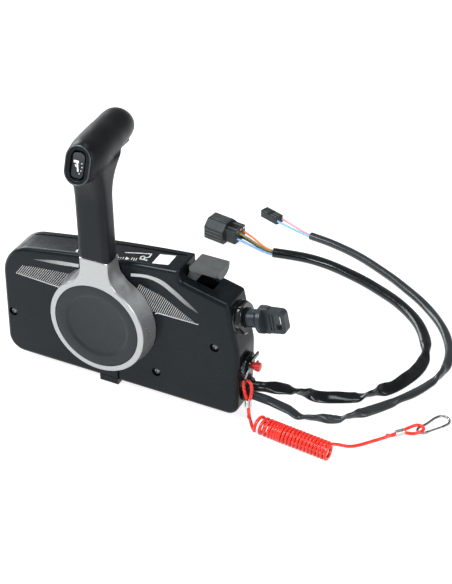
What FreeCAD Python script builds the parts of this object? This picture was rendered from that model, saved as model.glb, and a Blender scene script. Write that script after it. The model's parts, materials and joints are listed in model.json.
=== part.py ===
"""Side-mounted boat throttle and gear control with its lever, key switch, stop switch and wiring.

Frame: millimetres, +X aft along the box, +Y towards the panel it is bolted to, +Z up. The origin is
on the surface that the box stands on, under the lever's axis and midway through the box's depth.
"""
import FreeCAD, Part
import math
import os

V = FreeCAD.Vector
X_AXIS, Y_AXIS, Z_AXIS = V(1, 0, 0), V(0, 1, 0), V(0, 0, 1)

# Fits
FIT = 0.1               # gap between two pieces that are assembled and stay still
RUNNING = 0.06          # radial gap of a shaft in its bush
SLIDING = 0.35          # gap beside a piece that slides, tilts or swings

# Housing, seen from the front
HUB_X, HUB_Z = 0.0, 80.0
FRONT_Y = -17.5
SPLIT_Y = 11.0
BACK_Y = 17.5
BOTTOM_Z = 5.0
LEFT_X = -114.0
RIGHT_X = 137.2
TOP_LEFT_Z = 124.3
TOP_CREST = (-5.0, 143.5)
STEP_X, STEP_TOP_Z, STEP_FOOT_Z = 76.5, 151.5, 140.2
SHOULDER = (126.4, 128.4)
END_BEND_Z = 76.0
BOTTOM_RIGHT_X = 135.6
CORNERS = [
    (LEFT_X, BOTTOM_Z, 17.0),
    (LEFT_X, TOP_LEFT_Z, 36.0),
    (TOP_CREST[0], TOP_CREST[1], 1700.0),
    (STEP_X, STEP_TOP_Z, 1.5),
    (STEP_X, STEP_FOOT_Z, 7.0),
    (SHOULDER[0], SHOULDER[1], 4.0),
    (RIGHT_X, END_BEND_Z, 40.0),
    (BOTTOM_RIGHT_X, BOTTOM_Z, 11.0),
]
WALL = 2.6
FRONT_WALL = 3.0
BACK_WALL = 3.0
RIB_H = 2.0
RIB_T = 2.4
RIB_RING_R = 48.0
FRONT_ROUND = 4.5
BACK_ROUND = 2.0
FOOT_HALF_WIDTH = 11.0
FOOT_DEPTH = 28.5
FOOT_GROOVE_WIDTH = 2.5
FOOT_GROOVE_DEPTH = 1.6
FOOT_GROOVE_TOP_Z = 30.0
BASE_RAIL_DEPTH = 5.0
BASE_RAIL_INSET = 16.0

# Screws that close the housing
SCREW_PLACES = [(-105.6, 50.8), (50.9, 29.7), (112.5, 78.0)]
SCREW_RECESS_R = 4.6
SCREW_RECESS_DEPTH = 3.2
SCREW_HEAD_R = 4.0
SCREW_HEAD_H = 2.6
SCREW_R = 2.0
SCREW_LENGTH = 24.0
SCREW_BOSS_R = 6.4
SCREW_BOSS_H = 9.0
SCREW_POST_R = 4.0
CROSS_WIDTH = 1.1
CROSS_DEPTH = 1.4

# Bolts to the boat's side panel
MOUNT_CENTRE = (-5.0, 70.0)
MOUNT_SPACING_X, MOUNT_SPACING_Z = 160.0, 80.0
MOUNT_HOLE_R = 3.25
MOUNT_BOSS_R = 8.0
MOUNT_BOSS_H = 2.5

# Outlet for the throttle and shift cables, in the floor of the housing
OUTLET_X0, OUTLET_X1 = 86.0, 114.0
OUTLET_FRONT_Y = -6.5

# Main shaft
SHAFT_R = 8.0
BUSH_WALL = 2.6
BUSH_FLANGE = 3.0
BUSH_FLANGE_T = 1.5
BOSS_WALL = 4.0
BOSS_H = 6.0
SHAFT_END_Y = 13.0
CIRCLIP_T = 1.2
CIRCLIP_WALL = 2.6

# Gears, in the shaft's plane
MODULE = 2.0
PRESSURE_ANGLE = math.radians(20)
BACKLASH = 0.25
TOOTH_HEAD, TOOTH_FOOT = 1.0, 1.25
DRIVE_TEETH = 24
SHIFT_TEETH = 48
THROTTLE_TEETH = 40
GEAR_Y0, GEAR_Y1 = -5.5, 0.5
SECTOR_FACE = 5.0
SHIFT_SECTOR_HALF = 57.0
THROTTLE_SECTOR_HALF = 66.0
ARM_LENGTH = 36.0
ARM_END_R = 6.0
ARM_HUB_R = 10.0
ARM_CABLE_HOLE_R = 2.6
PIVOT_R = 4.0
DETENT_R = 19.0
DETENT_Y0, DETENT_Y1 = 1.5, 5.0
DETENT_NOTCH_R = 3.0
DETENT_ANGLES = (-32.0, 0.0, 32.0)
ROLLER_R = 3.2
SPRING_T = 1.0
SPRING_X0, SPRING_X1 = -38.0, 22.0
SPRING_FOOT = (8.0, 6.0)
SWITCH_SIZE = (20.0, 11.9, 11.0)
SWITCH_X0 = 14.0
PLUNGER_R = 1.6
PLUNGER_OUT = 3.0
PLUNGER_X = 18.0

# Lever: hub and neck in metal
HUB_FRONT_Y = -38.5
HUB_BACK_Y = FRONT_Y - 0.8
RIM_R = 49.5
SKIRT_R = RIM_R + 2.9
CAP_R = RIM_R - 5.5
CAP_SEAT_DEPTH = 8.0
CAP_T = 3.0
CAP_DISH_R = 31.7
CAP_DISH_DEPTH = 1.6
CAP_SKIRT_T = 2.0
NECK_HALF = 15.6
NECK_FILLET = 23.0
NECK_TOP_Z = HUB_Z + SKIRT_R + 20.6
NECK_TAPER = 0.8
RIM_ROUND = 1.6
HUB_POCKET_R0, HUB_POCKET_R1 = 17.0, RIM_R - 8.5
HUB_POCKET_DEPTH = 7.0
HUB_BOLT_HEAD_R = 9.0
HUB_BOLT_HEAD_H = 3.0
HUB_BOLT_R = 4.0
HUB_BOLT_LENGTH = 16.0

# Lever: arm and grip
ARM_BACK_Y = HUB_BACK_Y - 0.7
LEAN_X = -3.0
NECK_CORNER_R = 6.0
NECK_OVERHANG = 0.7
COLUMN_W = 33.0
COLUMN_PROUD = 0.8
COLUMN_SPREAD = 1.0
COLUMN_CORNER_R = 7.0
GRIP_AXIS_Z = 259.5
COLUMN_BEND_DROP = 45.5
COLUMN_BEND_Z = GRIP_AXIS_Z - COLUMN_BEND_DROP
GRIP_RISE = 4.5
GRIP_YAW = -3.0
GRIP_R = 17.0
GRIP_FACE_Y = -51.0
GRIP_FACE_TILT = 19.0
GRIP_FACE_W, GRIP_FACE_H = 28.4, 39.0
FACE_ROUND = 1.0
GRIP_END_Y = 36.5
# The column's flare into the bar: height above the bend, wider by, forward by, back by, corner radius
GRIP_FLARE = ((14.0, 0.6, 1.5, 3.5, 8.0), (26.0, 1.8, 4.5, 9.5, 9.0), (38.0, 3.0, 8.0, 22.0, 10.0))
# The bar behind its end face: depth, wider by, taller by, turned by
GRIP_STATIONS = (
    (-36.0, 2.0, 6.0, 11.0),
    (-20.0, 2.6, 4.0, 4.0),
    (0.0, 1.4, 1.4, 0.0),
    (16.0, 0.0, 0.0, -3.0),
    (27.0, -3.0, -3.0, -8.0),
    (33.5, -10.0, -10.0, -12.0),
    (GRIP_END_Y, -22.0, -22.0, -14.0),
)
CORE_W, CORE_T = 16.0, 5.0
CORE_BOTTOM_Z = HUB_Z + CAP_R + 2.0
CORE_TOP_Z = GRIP_AXIS_Z - 7.5
CORE_BACK_Y = -27.2
CORE_SCREW_R = 2.5
CORE_SCREW_HEAD_R = 4.5
CORE_SCREW_ZS = (CORE_BOTTOM_Z + 7.0, CORE_BOTTOM_Z + 21.0)

# Trim switch in the end of the grip
BEZEL_W, BEZEL_H, BEZEL_T = 24.4, 35.4, 2.4
RECESS_W, RECESS_H = 15.6, 28.0
TRIM_BODY_DEPTH = 14.0
ROCKER_W, ROCKER_H = 11.6, 22.6
ROCKER_CORNER_R = 3.6
ROCKER_ARCH_R = 60.0
ROCKER_T = 5.0
ROCKER_SINK = 0.8
ROCKER_PIN_R = 1.2

# Neutral lock bar under the grip
BAR_W, BAR_Y0, BAR_Y1 = 12.0, -8.0, 30.0
BAR_T = 5.0
BAR_PROUD = 2.4
BAR_TRAVEL = 4.0
ROD_R = 1.8
ROD_Y = -24.4
ROD_BOTTOM_Z = NECK_TOP_Z + 5.0

# Warm-up lever on the shoulder
TAB_X0, TAB_X1 = 83.5, 112.5
TAB_Y0, TAB_Y1 = -11.0, 16.0
TAB_TOP_Z = 153.5
TAB_T = 2.6
TAB_PIVOT = (82.0, 136.5)
TAB_EAR_T = 3.0
TAB_EAR_R = 4.5
TAB_PIN_R = 2.2
TAB_LIP_DEPTH = 8.0
TAB_LIP_T = 2.2
SLOT_X0, SLOT_X1 = 77.1, 106.0
SLOT_Y0, SLOT_Y1 = -5.5, 8.0
CHEEK_T = 2.6

# Key switch in the aft end
KEY_Z = 107.6
KEY_BARREL_R = 10.5
KEY_BARREL_DEPTH = 36.0
KEY_THREAD_R = 9.6
KEY_THREAD_OUT = 9.0
KEY_NUT_FLATS = 28.0
KEY_NUT_T = 6.0
KEY_WASHER_R = 12.4
KEY_WASHER_T = 1.4
KEY_ROTOR_R = 7.0
KEY_BOOT_R = 8.6
KEY_BOOT_LENGTH = 8.0
KEY_HEAD_R = 13.2
KEY_FLARE = 4.0
KEY_COLLAR_LENGTH = 9.0
KEY_PADDLE_LENGTH = 17.0
KEY_PADDLE_T = 8.4
KEY_PADDLE_TIP = 22.6
KEY_SLOT = (5.4, 15.0)
KEY_SLOT_R = 1.4
KEY_SLOT_FROM_TIP = 4.0
KEY_TIP_R = 4.5
KEY_GROOVE = (1.4, 0.8, 17.0)
KEY_GROOVES_FROM_TIP = (11.8, 14.8)

# Stop switch below it
STOP_Y, STOP_Z = -1.0, 57.8
STOP_R = 7.4
STOP_BODY_R = 9.0
STOP_BODY_DEPTH = 22.0
STOP_NUT_R = 11.8
STOP_NUT_T = 4.2
STOP_NUT_GRIPS = 12
STOP_NUT_GRIP_R = 1.5
STOP_SEAT_GAP = 0.3
STOP_STEM_R = 3.2
STOP_KNOB_R = 4.5
STOP_KNOB_H = 4.4
STOP_TRAVEL = 3.0
CLIP_T = 1.8
CLIP_FORK_R = 7.0
CLIP_PRONG = 13.5
CLIP_TAIL = 14.5
CLIP_TAIL_R = 4.8
CLIP_ANGLE = 44.0
CLIP_HOLE_R = 3.2

# Harness outlet and cords
GROMMET_Y0, GROMMET_Y1 = -6.5, 15.5
GROMMET_Z = 24.5
GROMMET_H = 15.0
GROMMET_OUT = 4.0
END_FACE_X = 136.0
SLEEVE_A_R = 5.0
SLEEVE_B_R = 3.75
WIRE_R = 1.15
SLEEVE_A_POINTS = [
    (136.5, 8.3, 25.0), (155.0, 15.0, 25.0), (169.0, 27.5, 19.0), (183.0, 41.0, 9.5), (201.0, 52.5, 5.1),
    (226.0, 65.0, 5.1), (246.0, 87.0, 5.1), (258.5, 117.0, 5.1), (260.0, 148.0, 5.1), (249.0, 179.0, 5.1),
    (226.0, 208.0, 5.1), (191.0, 231.0, 5.1), (152.0, 247.5, 5.1), (110.0, 258.5, 5.1), (74.0, 260.0, 5.1),
    (46.0, 253.0, 5.1),
]
SLEEVE_B_POINTS = [
    (136.5, -1.5, 23.3), (154.0, 1.0, 21.8), (169.0, 6.5, 14.0), (184.0, 11.5, 6.8), (201.0, 16.5, 3.85),
    (217.0, 23.0, 3.85), (231.0, 35.5, 3.85), (245.0, 54.0, 3.85), (260.0, 77.0, 3.85), (273.0, 101.0, 3.85),
    (282.0, 127.0, 3.85), (282.5, 152.0, 3.85), (274.5, 178.0, 3.85), (256.5, 206.0, 3.85), (226.0, 235.5, 3.85),
    (186.0, 261.0, 3.85), (142.0, 284.0, 3.85), (103.0, 298.0, 3.85), (68.0, 302.0, 3.85),
]
PLUG_A_END = (4.0, 259.5)
PLUG_A_SIZE = (38.0, 28.0, 23.0)
PLUG_A_COLLAR = 4.0
PLUG_A_CHAMFER = 7.0
PLUG_A_TURN = 171.0
PLUG_B_END = (24.5, 316.0)
PLUG_B_SIZE = (25.0, 11.0, 7.8)
PLUG_B_COLLAR = 0.0
PLUG_WALL = 1.6
PLUG_B_TURN = 160.0
WIRES_A_SPREAD = [(-2.6, 1.2), (-0.7, -2.6), (1.4, 2.2), (3.2, -1.6)]
WIRES_B_SPREAD = [(-1.8, 0.1), (1.8, -0.1)]
WIRE_RUN = 7.0

# Lanyard
LANYARD_R = 1.6
COIL_R = 9.3
COIL_Z = COIL_R + 0.1
COIL_START = (160.0, -22.0)
COIL_END = (236.0, -29.5)
CRIMP_R = 3.3
CRIMP_LENGTH = 9.0
NEAR_CRIMP_TOP = (143.6, -9.2, 24.0)
LOOP_POINTS = [
    (141.95, -9.2, 24.0), (139.4, -10.2, 32.5), (139.0, -11.4, 46.4), (147.6, -11.4, 46.4), (147.8, -10.2, 32.5),
    (145.25, -9.2, 24.0),
]
DROP_POINTS = [
    (143.6, -9.2, 15.0), (144.6, -10.2, 7.0), (149.5, -15.0, 1.75), (155.0, -22.5, 1.75), (160.6, -28.4, 4.6),
]
TAIL_POINTS = [
    (235.4, -26.0, 15.6), (240.5, -17.5, 10.5), (246.0, -9.0, 4.0), (252.5, -0.5, 1.75), (261.0, 10.5, 1.75),
    (269.5, 20.5, 1.75), (276.5, 28.0, 3.4),
]
FAR_CRIMP = ((276.5, 28.0, 3.4), (282.5, 35.0, 3.4))
HOOK_LOOP_POINTS = [
    (281.25, 36.05, 3.4), (285.4, 42.6, 3.9), (290.8, 48.6, 4.9), (297.4, 48.2, 4.3), (299.0, 41.6, 4.9),
    (294.6, 36.6, 4.3), (289.4, 34.0, 3.6), (283.75, 33.95, 3.4),
]
HOOK_R = 1.2
HOOK_Z = 1.3
HOOK_POINTS = [(311.6, 60.4), (315.6, 67.4), (312.8, 74.6), (305.0, 75.8), (300.2, 69.0), (296.6, 57.0),
               (291.4, 47.6), (293.2, 41.6), (299.6, 43.2), (302.2, 47.4)]
GATE_POINTS = [(302.56, 47.88), (311.27, 59.96)]


def box(x0, x1, y0, y1, z0, z1):
    return Part.makeBox(x1 - x0, y1 - y0, z1 - z0, V(x0, y0, z0))


def rod(start, along, radius, length):
    return Part.makeCylinder(radius, length, V(*start), V(*along))


def rod_y(x, z, radius, y0, y1):
    return rod((x, y0, z), (0, 1, 0), radius, y1 - y0)


def joined(shapes):
    first, rest = shapes[0], shapes[1:]
    return (first.fuse(rest) if rest else first).removeSplitter()


def rounded(points, close=True):
    """Edges of a closed outline through corners (point, radius), with each corner an arc."""
    count = len(points)
    edges = []
    ends = []
    for index in range(count):
        corner, radius = points[index]
        before = points[index - 1][0] - corner
        after = points[(index + 1) % count][0] - corner
        turn = math.pi - before.getAngle(after)
        if radius <= 0 or turn < 1e-6:
            ends.append((corner, corner, None))
            continue
        back, ahead = V(before).normalize(), V(after).normalize()
        setback = radius * math.tan(turn / 2)
        middle = (back + ahead).normalize() * (radius / math.cos(turn / 2) - radius)
        ends.append((corner + back * setback, corner + ahead * setback, corner + middle))
    for index in range(count):
        start, end, middle = ends[index]
        if middle is not None:
            edges.append(Part.Arc(start, middle, end).toShape())
        following = ends[(index + 1) % count][0]
        if (following - end).Length > 1e-6:
            edges.append(Part.LineSegment(end, following).toShape())
    return Part.Wire(edges)


def housing_outline(y, inset=0.0):
    wire = rounded([(V(x, y, z), radius) for x, z, radius in CORNERS])
    if inset:
        return Part.Face(wire).makeOffset2D(-inset).OuterWire
    return wire


def slab(wire, depth):
    return Part.Face(wire).extrude(V(0, depth, 0))


def rounded_block(cx, cy, cz, sx, sy, sz, radius):
    """A block about its centre, with its four edges along Z rounded."""
    corners = [(-1, -1), (1, -1), (1, 1), (-1, 1)]
    points = [(V(cx + a * sx / 2, cy + b * sy / 2, cz - sz / 2), radius) for a, b in corners]
    return Part.Face(rounded(points)).extrude(V(0, 0, sz))


def edges_at_y(shape, y, tolerance=0.01):
    near = [e for e in shape.Edges if abs(e.BoundBox.YMin - y) < tolerance]
    return [e for e in near if abs(e.BoundBox.YMax - y) < tolerance]


# Aft end face: the key switch stands square on it
END_TILT = math.degrees(math.atan2(RIGHT_X - SHOULDER[0], SHOULDER[1] - END_BEND_Z))
KEY_SEAT_X = SHOULDER[0] + (SHOULDER[1] - KEY_Z) * math.tan(math.radians(END_TILT))
STOP_SEAT_X = RIGHT_X - (END_BEND_Z - STOP_Z) * (RIGHT_X - BOTTOM_RIGHT_X) / (END_BEND_Z - BOTTOM_Z)


def on_key_seat(shape):
    """Turns a piece built along +X from its seat at the origin to stand on the aft end face."""
    shape.rotate(V(0, 0, 0), Y_AXIS, -END_TILT)
    shape.translate(V(KEY_SEAT_X, 0, KEY_Z))
    return shape


def on_stop_seat(shape):
    shape.translate(V(STOP_SEAT_X, STOP_Y, STOP_Z))
    return shape


def front_housing():
    shell = slab(housing_outline(FRONT_Y), SPLIT_Y - FRONT_Y)
    shell = shell.makeFillet(FRONT_ROUND, edges_at_y(shell, FRONT_Y))
    shell = shell.cut(slab(housing_outline(FRONT_Y + FRONT_WALL, WALL), SPLIT_Y - FRONT_Y))
    back_of_wall = FRONT_Y + FRONT_WALL
    boss_r = SHAFT_R + BUSH_WALL + BOSS_WALL
    adds = [rod_y(HUB_X, HUB_Z, boss_r, back_of_wall, back_of_wall + BOSS_H)]
    inside = slab(housing_outline(FRONT_Y + 0.5, WALL / 2), SPLIT_Y - FRONT_Y - 0.5)
    for x, z in SCREW_PLACES:
        adds.append(rod_y(x, z, SCREW_BOSS_R, FRONT_Y + FRONT_WALL / 2, FRONT_Y + SCREW_BOSS_H).common(inside))
        adds.append(rod_y(x, z, SCREW_POST_R, FRONT_Y + FRONT_WALL / 2, SPLIT_Y).common(inside))
    for y in (SLOT_Y0 - CHEEK_T, SLOT_Y1):
        cheek = box(SLOT_X0 - 1.0, SLOT_X1 + 1.0, y, y + CHEEK_T, TAB_PIVOT[1] - 9.0, STEP_TOP_Z)
        adds.append(cheek.common(inside))
    foot_top = BOTTOM_Z + WALL
    groove_x = FOOT_HALF_WIDTH - FOOT_GROOVE_WIDTH
    foot = box(-FOOT_HALF_WIDTH, groove_x, FRONT_Y, FRONT_Y + FOOT_DEPTH, 0, foot_top)
    foot = foot.cut(rounded_corner_tool())
    adds.append(foot)
    shell = joined([shell] + adds)
    cuts = [rod_y(HUB_X, HUB_Z, SHAFT_R + BUSH_WALL, FRONT_Y - 1, FRONT_Y + FRONT_WALL + BOSS_H + 1)]
    for x, z in SCREW_PLACES:
        cuts.append(rod_y(x, z, SCREW_RECESS_R, FRONT_Y - 1, FRONT_Y + SCREW_RECESS_DEPTH))
        cuts.append(rod_y(x, z, SCREW_R + FIT, FRONT_Y, SPLIT_Y + 1))
    cuts.append(box(SLOT_X0, SLOT_X1, SLOT_Y0, SLOT_Y1, TAB_PIVOT[1] - 12.0, STEP_TOP_Z + 5))
    cuts.append(rod_y(TAB_PIVOT[0], TAB_PIVOT[1], TAB_PIN_R + FIT, SLOT_Y0 - CHEEK_T, SLOT_Y1 + CHEEK_T))
    cuts.append(on_key_seat(rod((-20, 0, 0), (1, 0, 0), KEY_THREAD_R + FIT, 30)))
    cuts.append(on_stop_seat(rod((-20, 0, 0), (1, 0, 0), STOP_R + FIT, 30)))
    cuts.append(grommet_block(120, 150, 0))
    cuts.append(box(OUTLET_X0, OUTLET_X1, OUTLET_FRONT_Y, SPLIT_Y + 1, BOTTOM_Z - 1, BOTTOM_Z + WALL + 1))
    cuts.append(box(groove_x, FOOT_HALF_WIDTH, FRONT_Y - 1, FRONT_Y + FOOT_GROOVE_DEPTH, -1, FOOT_GROOVE_TOP_Z))
    return shell.cut(Part.makeCompound(cuts)).removeSplitter()


def rounded_corner_tool():
    """Takes the sharp front edge off the foot."""
    edge = 1.2
    tool = box(-50, 50, FRONT_Y - 1, FRONT_Y + edge, -1, edge)
    return tool.cut(rod((-50, FRONT_Y + edge, edge), (1, 0, 0), edge, 100))


def grommet_block(x0, x1, grow):
    """The obround through the aft end that the harness leaves by."""
    radius = GROMMET_H / 2 + grow
    low, high = GROMMET_Y0 + GROMMET_H / 2, GROMMET_Y1 - GROMMET_H / 2
    ends = [rod((x0, y, GROMMET_Z), (1, 0, 0), radius, x1 - x0) for y in (low, high)]
    middle = box(x0, x1, low, high, GROMMET_Z - radius, GROMMET_Z + radius)
    return joined([middle] + ends)


def mount_places():
    halves = [(a, b) for a in (-0.5, 0.5) for b in (-0.5, 0.5)]
    x, z = MOUNT_CENTRE
    return [(x + a * MOUNT_SPACING_X, z + b * MOUNT_SPACING_Z) for a, b in halves]


def rib_face():
    """Depth of the front of the back plate's ribs, which carry the detent's spring and switch."""
    return BACK_Y - BACK_WALL - RIB_H


def back_plate():
    plate = slab(housing_outline(SPLIT_Y), BACK_Y - SPLIT_Y)
    plate = plate.makeFillet(BACK_ROUND, edges_at_y(plate, BACK_Y))
    inner_face = BACK_Y - BACK_WALL
    plate = plate.cut(slab(housing_outline(SPLIT_Y - 1, WALL), inner_face - SPLIT_Y + 1))
    rail = box(LEFT_X + BASE_RAIL_INSET, BOTTOM_RIGHT_X - BASE_RAIL_INSET, BACK_Y - BASE_RAIL_DEPTH, BACK_Y,
               0, BOTTOM_Z + WALL)
    adds = [rail]
    boss_r = SHAFT_R + BUSH_WALL + BOSS_WALL
    adds.append(rod_y(HUB_X, HUB_Z, boss_r, inner_face - BOSS_H, inner_face))
    for x, z in SCREW_PLACES:
        inside = slab(housing_outline(SPLIT_Y, WALL / 2), inner_face - SPLIT_Y + 1)
        adds.append(rod_y(x, z, SCREW_BOSS_R, SPLIT_Y, inner_face + 1).common(inside))
    for x, z in mount_places():
        adds.append(rod_y(x, z, MOUNT_BOSS_R, inner_face - MOUNT_BOSS_H, inner_face))
    for place in (shift_pivot(), throttle_pivot()):
        adds.append(rod_y(place[0], place[1], PIVOT_R + 4, GEAR_Y1 + 1.0, inner_face))
    rib_low, rib_high = inner_face - RIB_H, inner_face
    for angle in range(30, 360, 60):
        rib = box(boss_r - 1, RIB_RING_R - 1, rib_low, rib_high, -RIB_T / 2, RIB_T / 2)
        rib.rotate(V(0, 0, 0), Y_AXIS, angle)
        rib.translate(V(HUB_X, 0, HUB_Z))
        adds.append(rib)
    ring = rod_y(HUB_X, HUB_Z, RIB_RING_R, rib_low, rib_high)
    adds.append(ring.cut(rod_y(HUB_X, HUB_Z, RIB_RING_R - RIB_T, rib_low - 1, rib_high + 1)))
    plate = joined([plate] + adds)
    cuts = [rod_y(HUB_X, HUB_Z, SHAFT_R + BUSH_WALL, inner_face - BOSS_H - 1, inner_face)]
    for x, z in SCREW_PLACES:
        cuts.append(rod_y(x, z, SCREW_R, SPLIT_Y - 1, inner_face + 0.5))
    for x, z in mount_places():
        cuts.append(rod_y(x, z, MOUNT_HOLE_R, SPLIT_Y - 5, BACK_Y + 1))
    for place in (shift_pivot(), throttle_pivot()):
        cuts.append(rod_y(place[0], place[1], PIVOT_R, GEAR_Y1, inner_face - 1))
    cuts.append(grommet_block(120, 150, 0))
    return plate.cut(Part.makeCompound(cuts)).removeSplitter()


def housing_screws():
    screws = []
    head_y = FRONT_Y + SCREW_RECESS_DEPTH
    for x, z in SCREW_PLACES:
        dome = Part.makeSphere(SCREW_HEAD_R * 1.25, V(x, head_y - SCREW_HEAD_H + SCREW_HEAD_R * 1.25, z))
        head = rod_y(x, z, SCREW_HEAD_R, head_y - SCREW_HEAD_H, head_y).common(dome)
        shank = rod_y(x, z, SCREW_R - FIT, head_y, head_y + SCREW_LENGTH)
        reach = SCREW_HEAD_R * 0.62
        slots = [box(x - reach, x + reach, head_y - SCREW_HEAD_H - 1, head_y - SCREW_HEAD_H + CROSS_DEPTH,
                     z - CROSS_WIDTH / 2, z + CROSS_WIDTH / 2),
                 box(x - CROSS_WIDTH / 2, x + CROSS_WIDTH / 2, head_y - SCREW_HEAD_H - 1,
                     head_y - SCREW_HEAD_H + CROSS_DEPTH, z - reach, z + reach)]
        screws.append(joined([head, shank]).cut(Part.makeCompound(slots)))
    return Part.makeCompound(screws)


def bush(outer_y, inner_y):
    """A flanged bush whose flange lies against the inner end of its boss."""
    low, high = min(outer_y, inner_y), max(outer_y, inner_y)
    sleeve = rod_y(HUB_X, HUB_Z, SHAFT_R + BUSH_WALL - FIT / 2, low, high)
    flange_y = inner_y if inner_y > outer_y else inner_y - BUSH_FLANGE_T
    flange = rod_y(HUB_X, HUB_Z, SHAFT_R + BUSH_WALL + BUSH_FLANGE, flange_y, flange_y + BUSH_FLANGE_T)
    return joined([sleeve, flange]).cut(rod_y(HUB_X, HUB_Z, SHAFT_R + RUNNING, low - 3, high + 3))


def shaft_bolt_front():
    return HUB_FRONT_Y + CAP_SEAT_DEPTH


def main_shaft():
    shaft = rod_y(HUB_X, HUB_Z, SHAFT_R, shaft_bolt_front() + FIT, SHAFT_END_Y)
    groove_y = BACK_Y - BACK_WALL - BOSS_H - BUSH_FLANGE_T - 0.4 - CIRCLIP_T
    groove = rod_y(HUB_X, HUB_Z, SHAFT_R + 1, groove_y, groove_y + CIRCLIP_T)
    groove = groove.cut(rod_y(HUB_X, HUB_Z, SHAFT_R - 1, groove_y, groove_y + CIRCLIP_T))
    bolt_y = shaft_bolt_front()
    tapped = rod_y(HUB_X, HUB_Z, HUB_BOLT_R + FIT, bolt_y, bolt_y + HUB_BOLT_LENGTH + 2)
    return shaft.cut(groove).cut(tapped)


def retaining_ring():
    groove_y = BACK_Y - BACK_WALL - BOSS_H - BUSH_FLANGE_T - 0.4 - CIRCLIP_T
    ring = rod_y(HUB_X, HUB_Z, SHAFT_R + CIRCLIP_WALL, groove_y, groove_y + CIRCLIP_T)
    ring = ring.cut(rod_y(HUB_X, HUB_Z, SHAFT_R - 1 + FIT / 2, groove_y - 1, groove_y + CIRCLIP_T + 1))
    return ring.cut(box(-1.5, 1.5, groove_y - 1, groove_y + CIRCLIP_T + 1, HUB_Z - 20, HUB_Z))


def hub_bolt():
    seat = shaft_bolt_front()
    head_points = []
    for index in range(6):
        angle = math.radians(60 * index)
        head_points.append(V(HUB_BOLT_HEAD_R * math.cos(angle), seat - HUB_BOLT_HEAD_H,
                             HUB_Z + HUB_BOLT_HEAD_R * math.sin(angle)))
    head = Part.Face(Part.makePolygon(head_points + head_points[:1])).extrude(V(0, HUB_BOLT_HEAD_H, 0))
    return joined([head, rod_y(HUB_X, HUB_Z, HUB_BOLT_R, seat, seat + HUB_BOLT_LENGTH)])


def involute_flank(teeth, steps=4):
    """Points (radius, half angle) up one flank of a tooth, thinned by the backlash."""
    pitch_r = MODULE * teeth / 2
    base_r = pitch_r * math.cos(PRESSURE_ANGLE)
    tip_r = pitch_r + TOOTH_HEAD * MODULE
    root_r = pitch_r - TOOTH_FOOT * MODULE
    half = (math.pi * MODULE / 2 - BACKLASH) / 2 / pitch_r
    half += math.tan(PRESSURE_ANGLE) - PRESSURE_ANGLE
    start_r = max(base_r, root_r)
    flank = [] if start_r == root_r else [(root_r, half)]
    for step in range(steps + 1):
        radius = start_r + (tip_r - start_r) * step / steps
        roll = math.acos(min(1.0, base_r / radius))
        flank.append((radius, half - (math.tan(roll) - roll)))
    return flank


def gear_outline(teeth, phase, first=0, last=None):
    """Points (x, z) round the teeth whose centre angles, in degrees from +X, start at the phase."""
    last = teeth if last is None else last
    flank = involute_flank(teeth)
    points = []
    for index in range(first, last):
        centre = math.radians(phase) + 2 * math.pi * index / teeth
        for radius, half in flank:
            points.append((radius * math.cos(centre - half), radius * math.sin(centre - half)))
        for radius, half in reversed(flank):
            points.append((radius * math.cos(centre + half), radius * math.sin(centre + half)))
    return points


def prism(points, centre, y0, y1):
    corners = [V(centre[0] + x, y0, centre[1] + z) for x, z in points]
    return Part.Face(Part.makePolygon(corners + corners[:1])).extrude(V(0, y1 - y0, 0))


def shift_pivot():
    return (HUB_X + MODULE * (DRIVE_TEETH + SHIFT_TEETH) / 2, HUB_Z)


def throttle_pivot():
    return (HUB_X - MODULE * (DRIVE_TEETH + THROTTLE_TEETH) / 2, HUB_Z)


def drive_gear():
    gear = prism(gear_outline(DRIVE_TEETH, 0.0), (HUB_X, HUB_Z), GEAR_Y0, GEAR_Y1)
    return gear.cut(rod_y(HUB_X, HUB_Z, SHAFT_R + FIT / 2, GEAR_Y0 - 1, GEAR_Y1 + 1))


def sector_arm(teeth, pivot, facing, half_angle):
    """A toothed sector that faces the drive gear, with an arm that pulls a cable."""
    count = int(half_angle * teeth / 360.0)
    y0 = (GEAR_Y0 + GEAR_Y1 - SECTOR_FACE) / 2
    y1 = y0 + SECTOR_FACE
    phase = facing + 180.0 / teeth
    points = gear_outline(teeth, phase, -count, count)
    sector = prism([(0.0, 0.0)] + points, pivot, y0, y1)
    hub = rod_y(pivot[0], pivot[1], ARM_HUB_R, y0, y1)
    tip_z = pivot[1] - ARM_LENGTH
    arm = box(pivot[0] - ARM_END_R, pivot[0] + ARM_END_R, y0, y1, tip_z, pivot[1])
    end = rod_y(pivot[0], tip_z, ARM_END_R, y0, y1)
    body = joined([sector, hub, arm, end])
    cuts = [rod_y(pivot[0], pivot[1], PIVOT_R + RUNNING, y0 - 1, y1 + 1),
            rod_y(pivot[0], tip_z, ARM_CABLE_HOLE_R, y0 - 1, y1 + 1)]
    return body.cut(Part.makeCompound(cuts))


def pivot_pin(pivot):
    """A pin that stands in the back plate and carries a sector, with a head in front of it."""
    y0 = (GEAR_Y0 + GEAR_Y1 - SECTOR_FACE) / 2
    pin = rod_y(pivot[0], pivot[1], PIVOT_R - FIT / 4, y0 - 0.6, BACK_Y - BACK_WALL - 1.2)
    return joined([pin, rod_y(pivot[0], pivot[1], PIVOT_R + 2, y0 - 2.1, y0 - 0.4)])


def detent_wheel():
    wheel = rod_y(HUB_X, HUB_Z, DETENT_R, DETENT_Y0, DETENT_Y1)
    cuts = [rod_y(HUB_X, HUB_Z, SHAFT_R + FIT / 2, DETENT_Y0 - 1, DETENT_Y1 + 1)]
    for angle in DETENT_ANGLES:
        turn = math.radians(angle)
        reach = DETENT_R + DETENT_NOTCH_R * 0.55
        cuts.append(rod_y(HUB_X + reach * math.sin(turn), HUB_Z + reach * math.cos(turn), DETENT_NOTCH_R,
                          DETENT_Y0 - 1, DETENT_Y1 + 1))
    return wheel.cut(Part.makeCompound(cuts))


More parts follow.
